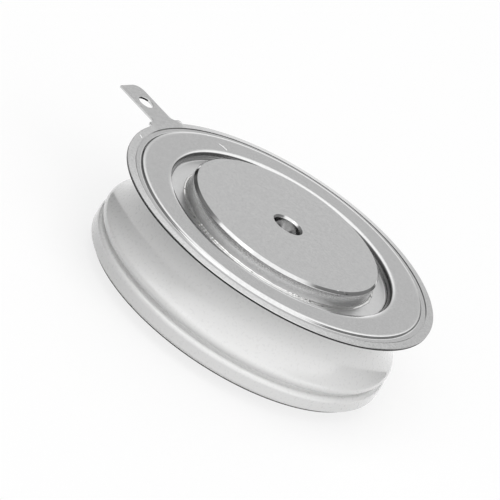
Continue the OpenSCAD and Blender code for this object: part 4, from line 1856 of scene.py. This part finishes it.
@dataclass
class Studio:
    """Pale floor, soft surroundings, key light and camera.

    The lobes are laid over each other in order: a broad top light, the tall backdrop and its lit
    foot, the grey card that the flat faces mirror, dark flags on both flanks, soft boxes on the
    camera's side and two low dark flags.
    """

    camera_azimuth: float = 294.7
    ambient: float = 0.15
    lobes: tuple[Lobe, ...] = (
        Lobe(0.0, 52.0, 20.0, 52.0, 0.63),
        Lobe(169.0, 59.0, 17.0, 58.0, 1.45),
        Lobe(184.0, 0.0, 8.0, 20.0, 1.25),
        Lobe(178.0, 24.0, 6.5, 12.0, 0.67),
        Lobe(-124.0, 34.0, 29.0, 35.0, 0.26),
        Lobe(117.0, 34.0, 29.0, 35.0, 0.26),
        Lobe(47.0, 3.0, 40.0, 53.0, 1.45),
        Lobe(10.0, 40.0, 35.0, 52.0, 1.45),
        Lobe(-65.0, 45.0, 11.0, 23.0, 0.72),
        Lobe(-117.0, -4.0, 23.0, 35.0, 0.03),
        Lobe(-155.0, -4.0, 13.0, 20.0, 0.03),
    )
    floor_half: float = 3.0
    floor_colour: float = 0.28
    floor_lift: float = 0.72
    turn: float = 25.0
    tilt: float = 66.876
    roll: float = 33.272
    distance: float = 420.0
    aside: tuple[float, float] = (3.862, 2.008)
    sight_height: float = 12.7
    lens: float = 255.2
    sensor_width: float = 36.0
    clip_start: float = 0.01
    key_distance: float = 0.7
    key_size: float = 0.4
    key_power: float = 0.35
    key_azimuth: float = -60.0
    key_elevation: float = 60.0

    def build(self) -> None:
        """Sets up the whole studio."""
        self.floor()
        self.surroundings()
        self.key_light()
        self.camera()
        bpy.context.scene.view_settings.view_transform = "Standard"

    def surroundings(self) -> None:
        """Paints the surroundings as soft lobes of light by direction."""
        world = bpy.data.worlds.new("studio")
        world.use_nodes = True
        bpy.context.scene.world = world
        graph = Graph(world.node_tree)
        seen = graph.add("TexCoord").outputs["Generated"]
        level = self.ambient
        for lobe in self.lobes:
            middle = direction(self.camera_azimuth + lobe.azimuth, lobe.elevation)
            edge, core = (math.cos(math.radians(angle)) for angle in (lobe.outer, lobe.inner))
            cover = graph.span(graph.vector("DOT_PRODUCT", seen, middle), edge, core)
            level = graph.mix(cover, level, lobe.level)
        background = world.node_tree.nodes["Background"]
        background.inputs["Color"].default_value = (1.0, 1.0, 1.0, 1.0)
        graph.feed(background.inputs["Strength"], level)

    def key_light(self) -> None:
        """Hangs the soft key light to the left of the camera."""
        lamp = bpy.data.lights.new("key", "AREA")
        lamp.shape = "DISK"
        lamp.size = self.key_size
        lamp.energy = self.key_power
        towards = direction(self.camera_azimuth + self.key_azimuth, self.key_elevation)
        aim = towards.to_track_quat("Z", "Y").to_matrix().to_4x4()
        add_object("key", lamp).matrix_world = Matrix.Translation(towards * self.key_distance) @ aim

    def floor(self) -> None:
        """Lays the pale floor, which is white in the background and keeps the cell's soft shadow."""
        bm = bmesh.new()
        bmesh.ops.create_grid(bm, x_segments=1, y_segments=1, size=self.floor_half)
        floor = as_object(bm, "floor")
        material = bpy.data.materials.new("white_floor")
        material.use_nodes = True
        graph = Graph(material.node_tree)
        sockets = material.node_tree.nodes["Principled BSDF"].inputs
        sockets["Base Color"].default_value = (*(self.floor_colour,) * 3, 1.0)
        sockets["Roughness"].default_value = 1.0
        sockets["Specular IOR Level"].default_value = 0.0
        sockets["Emission Color"].default_value = (1.0, 1.0, 1.0, 1.0)
        rays = graph.add("LightPath").outputs
        seen = graph.math("MAXIMUM", rays["Is Camera Ray"], rays["Is Glossy Ray"])
        seen = graph.math("MAXIMUM", seen, rays["Is Transmission Ray"])
        graph.feed(sockets["Emission Strength"], graph.times(seen, self.floor_lift))
        floor.data.materials.append(material)

    def camera(self) -> None:
        """Stands the camera at the photograph's view."""
        lens = bpy.data.cameras.new("camera")
        lens.lens = self.lens
        lens.sensor_width = self.sensor_width
        lens.clip_start = self.clip_start
        camera = add_object("camera", lens)
        sight = Matrix.Translation((0.0, 0.0, self.sight_height * MM))
        for angle, axis in ((self.turn, "Z"), (self.tilt, "X"), (self.roll, "Z")):
            sight = sight @ Matrix.Rotation(math.radians(angle), 4, axis)
        stand = Matrix.Translation(Vector((-self.aside[0], -self.aside[1], self.distance)) * MM)
        camera.matrix_world = sight @ stand
        bpy.context.scene.camera = camera


def main() -> None:
    """Builds the studio and each sub-assembly, and reports every piece."""
    logging.basicConfig(level=logging.INFO, format="%(name)s: %(message)s")
    Studio().build()
    sealed = SealedPieces(SEALED_FINISHES)
    for assembly in (CathodeSide(), CeramicHousing(), AnodeSide(), GateFeedthrough(), sealed):
        for piece in assembly.build():
            log.info("%s: %s, %d faces", type(assembly).__name__, piece.name, len(piece.data.polygons))


if __name__ == "__main__":
    main()
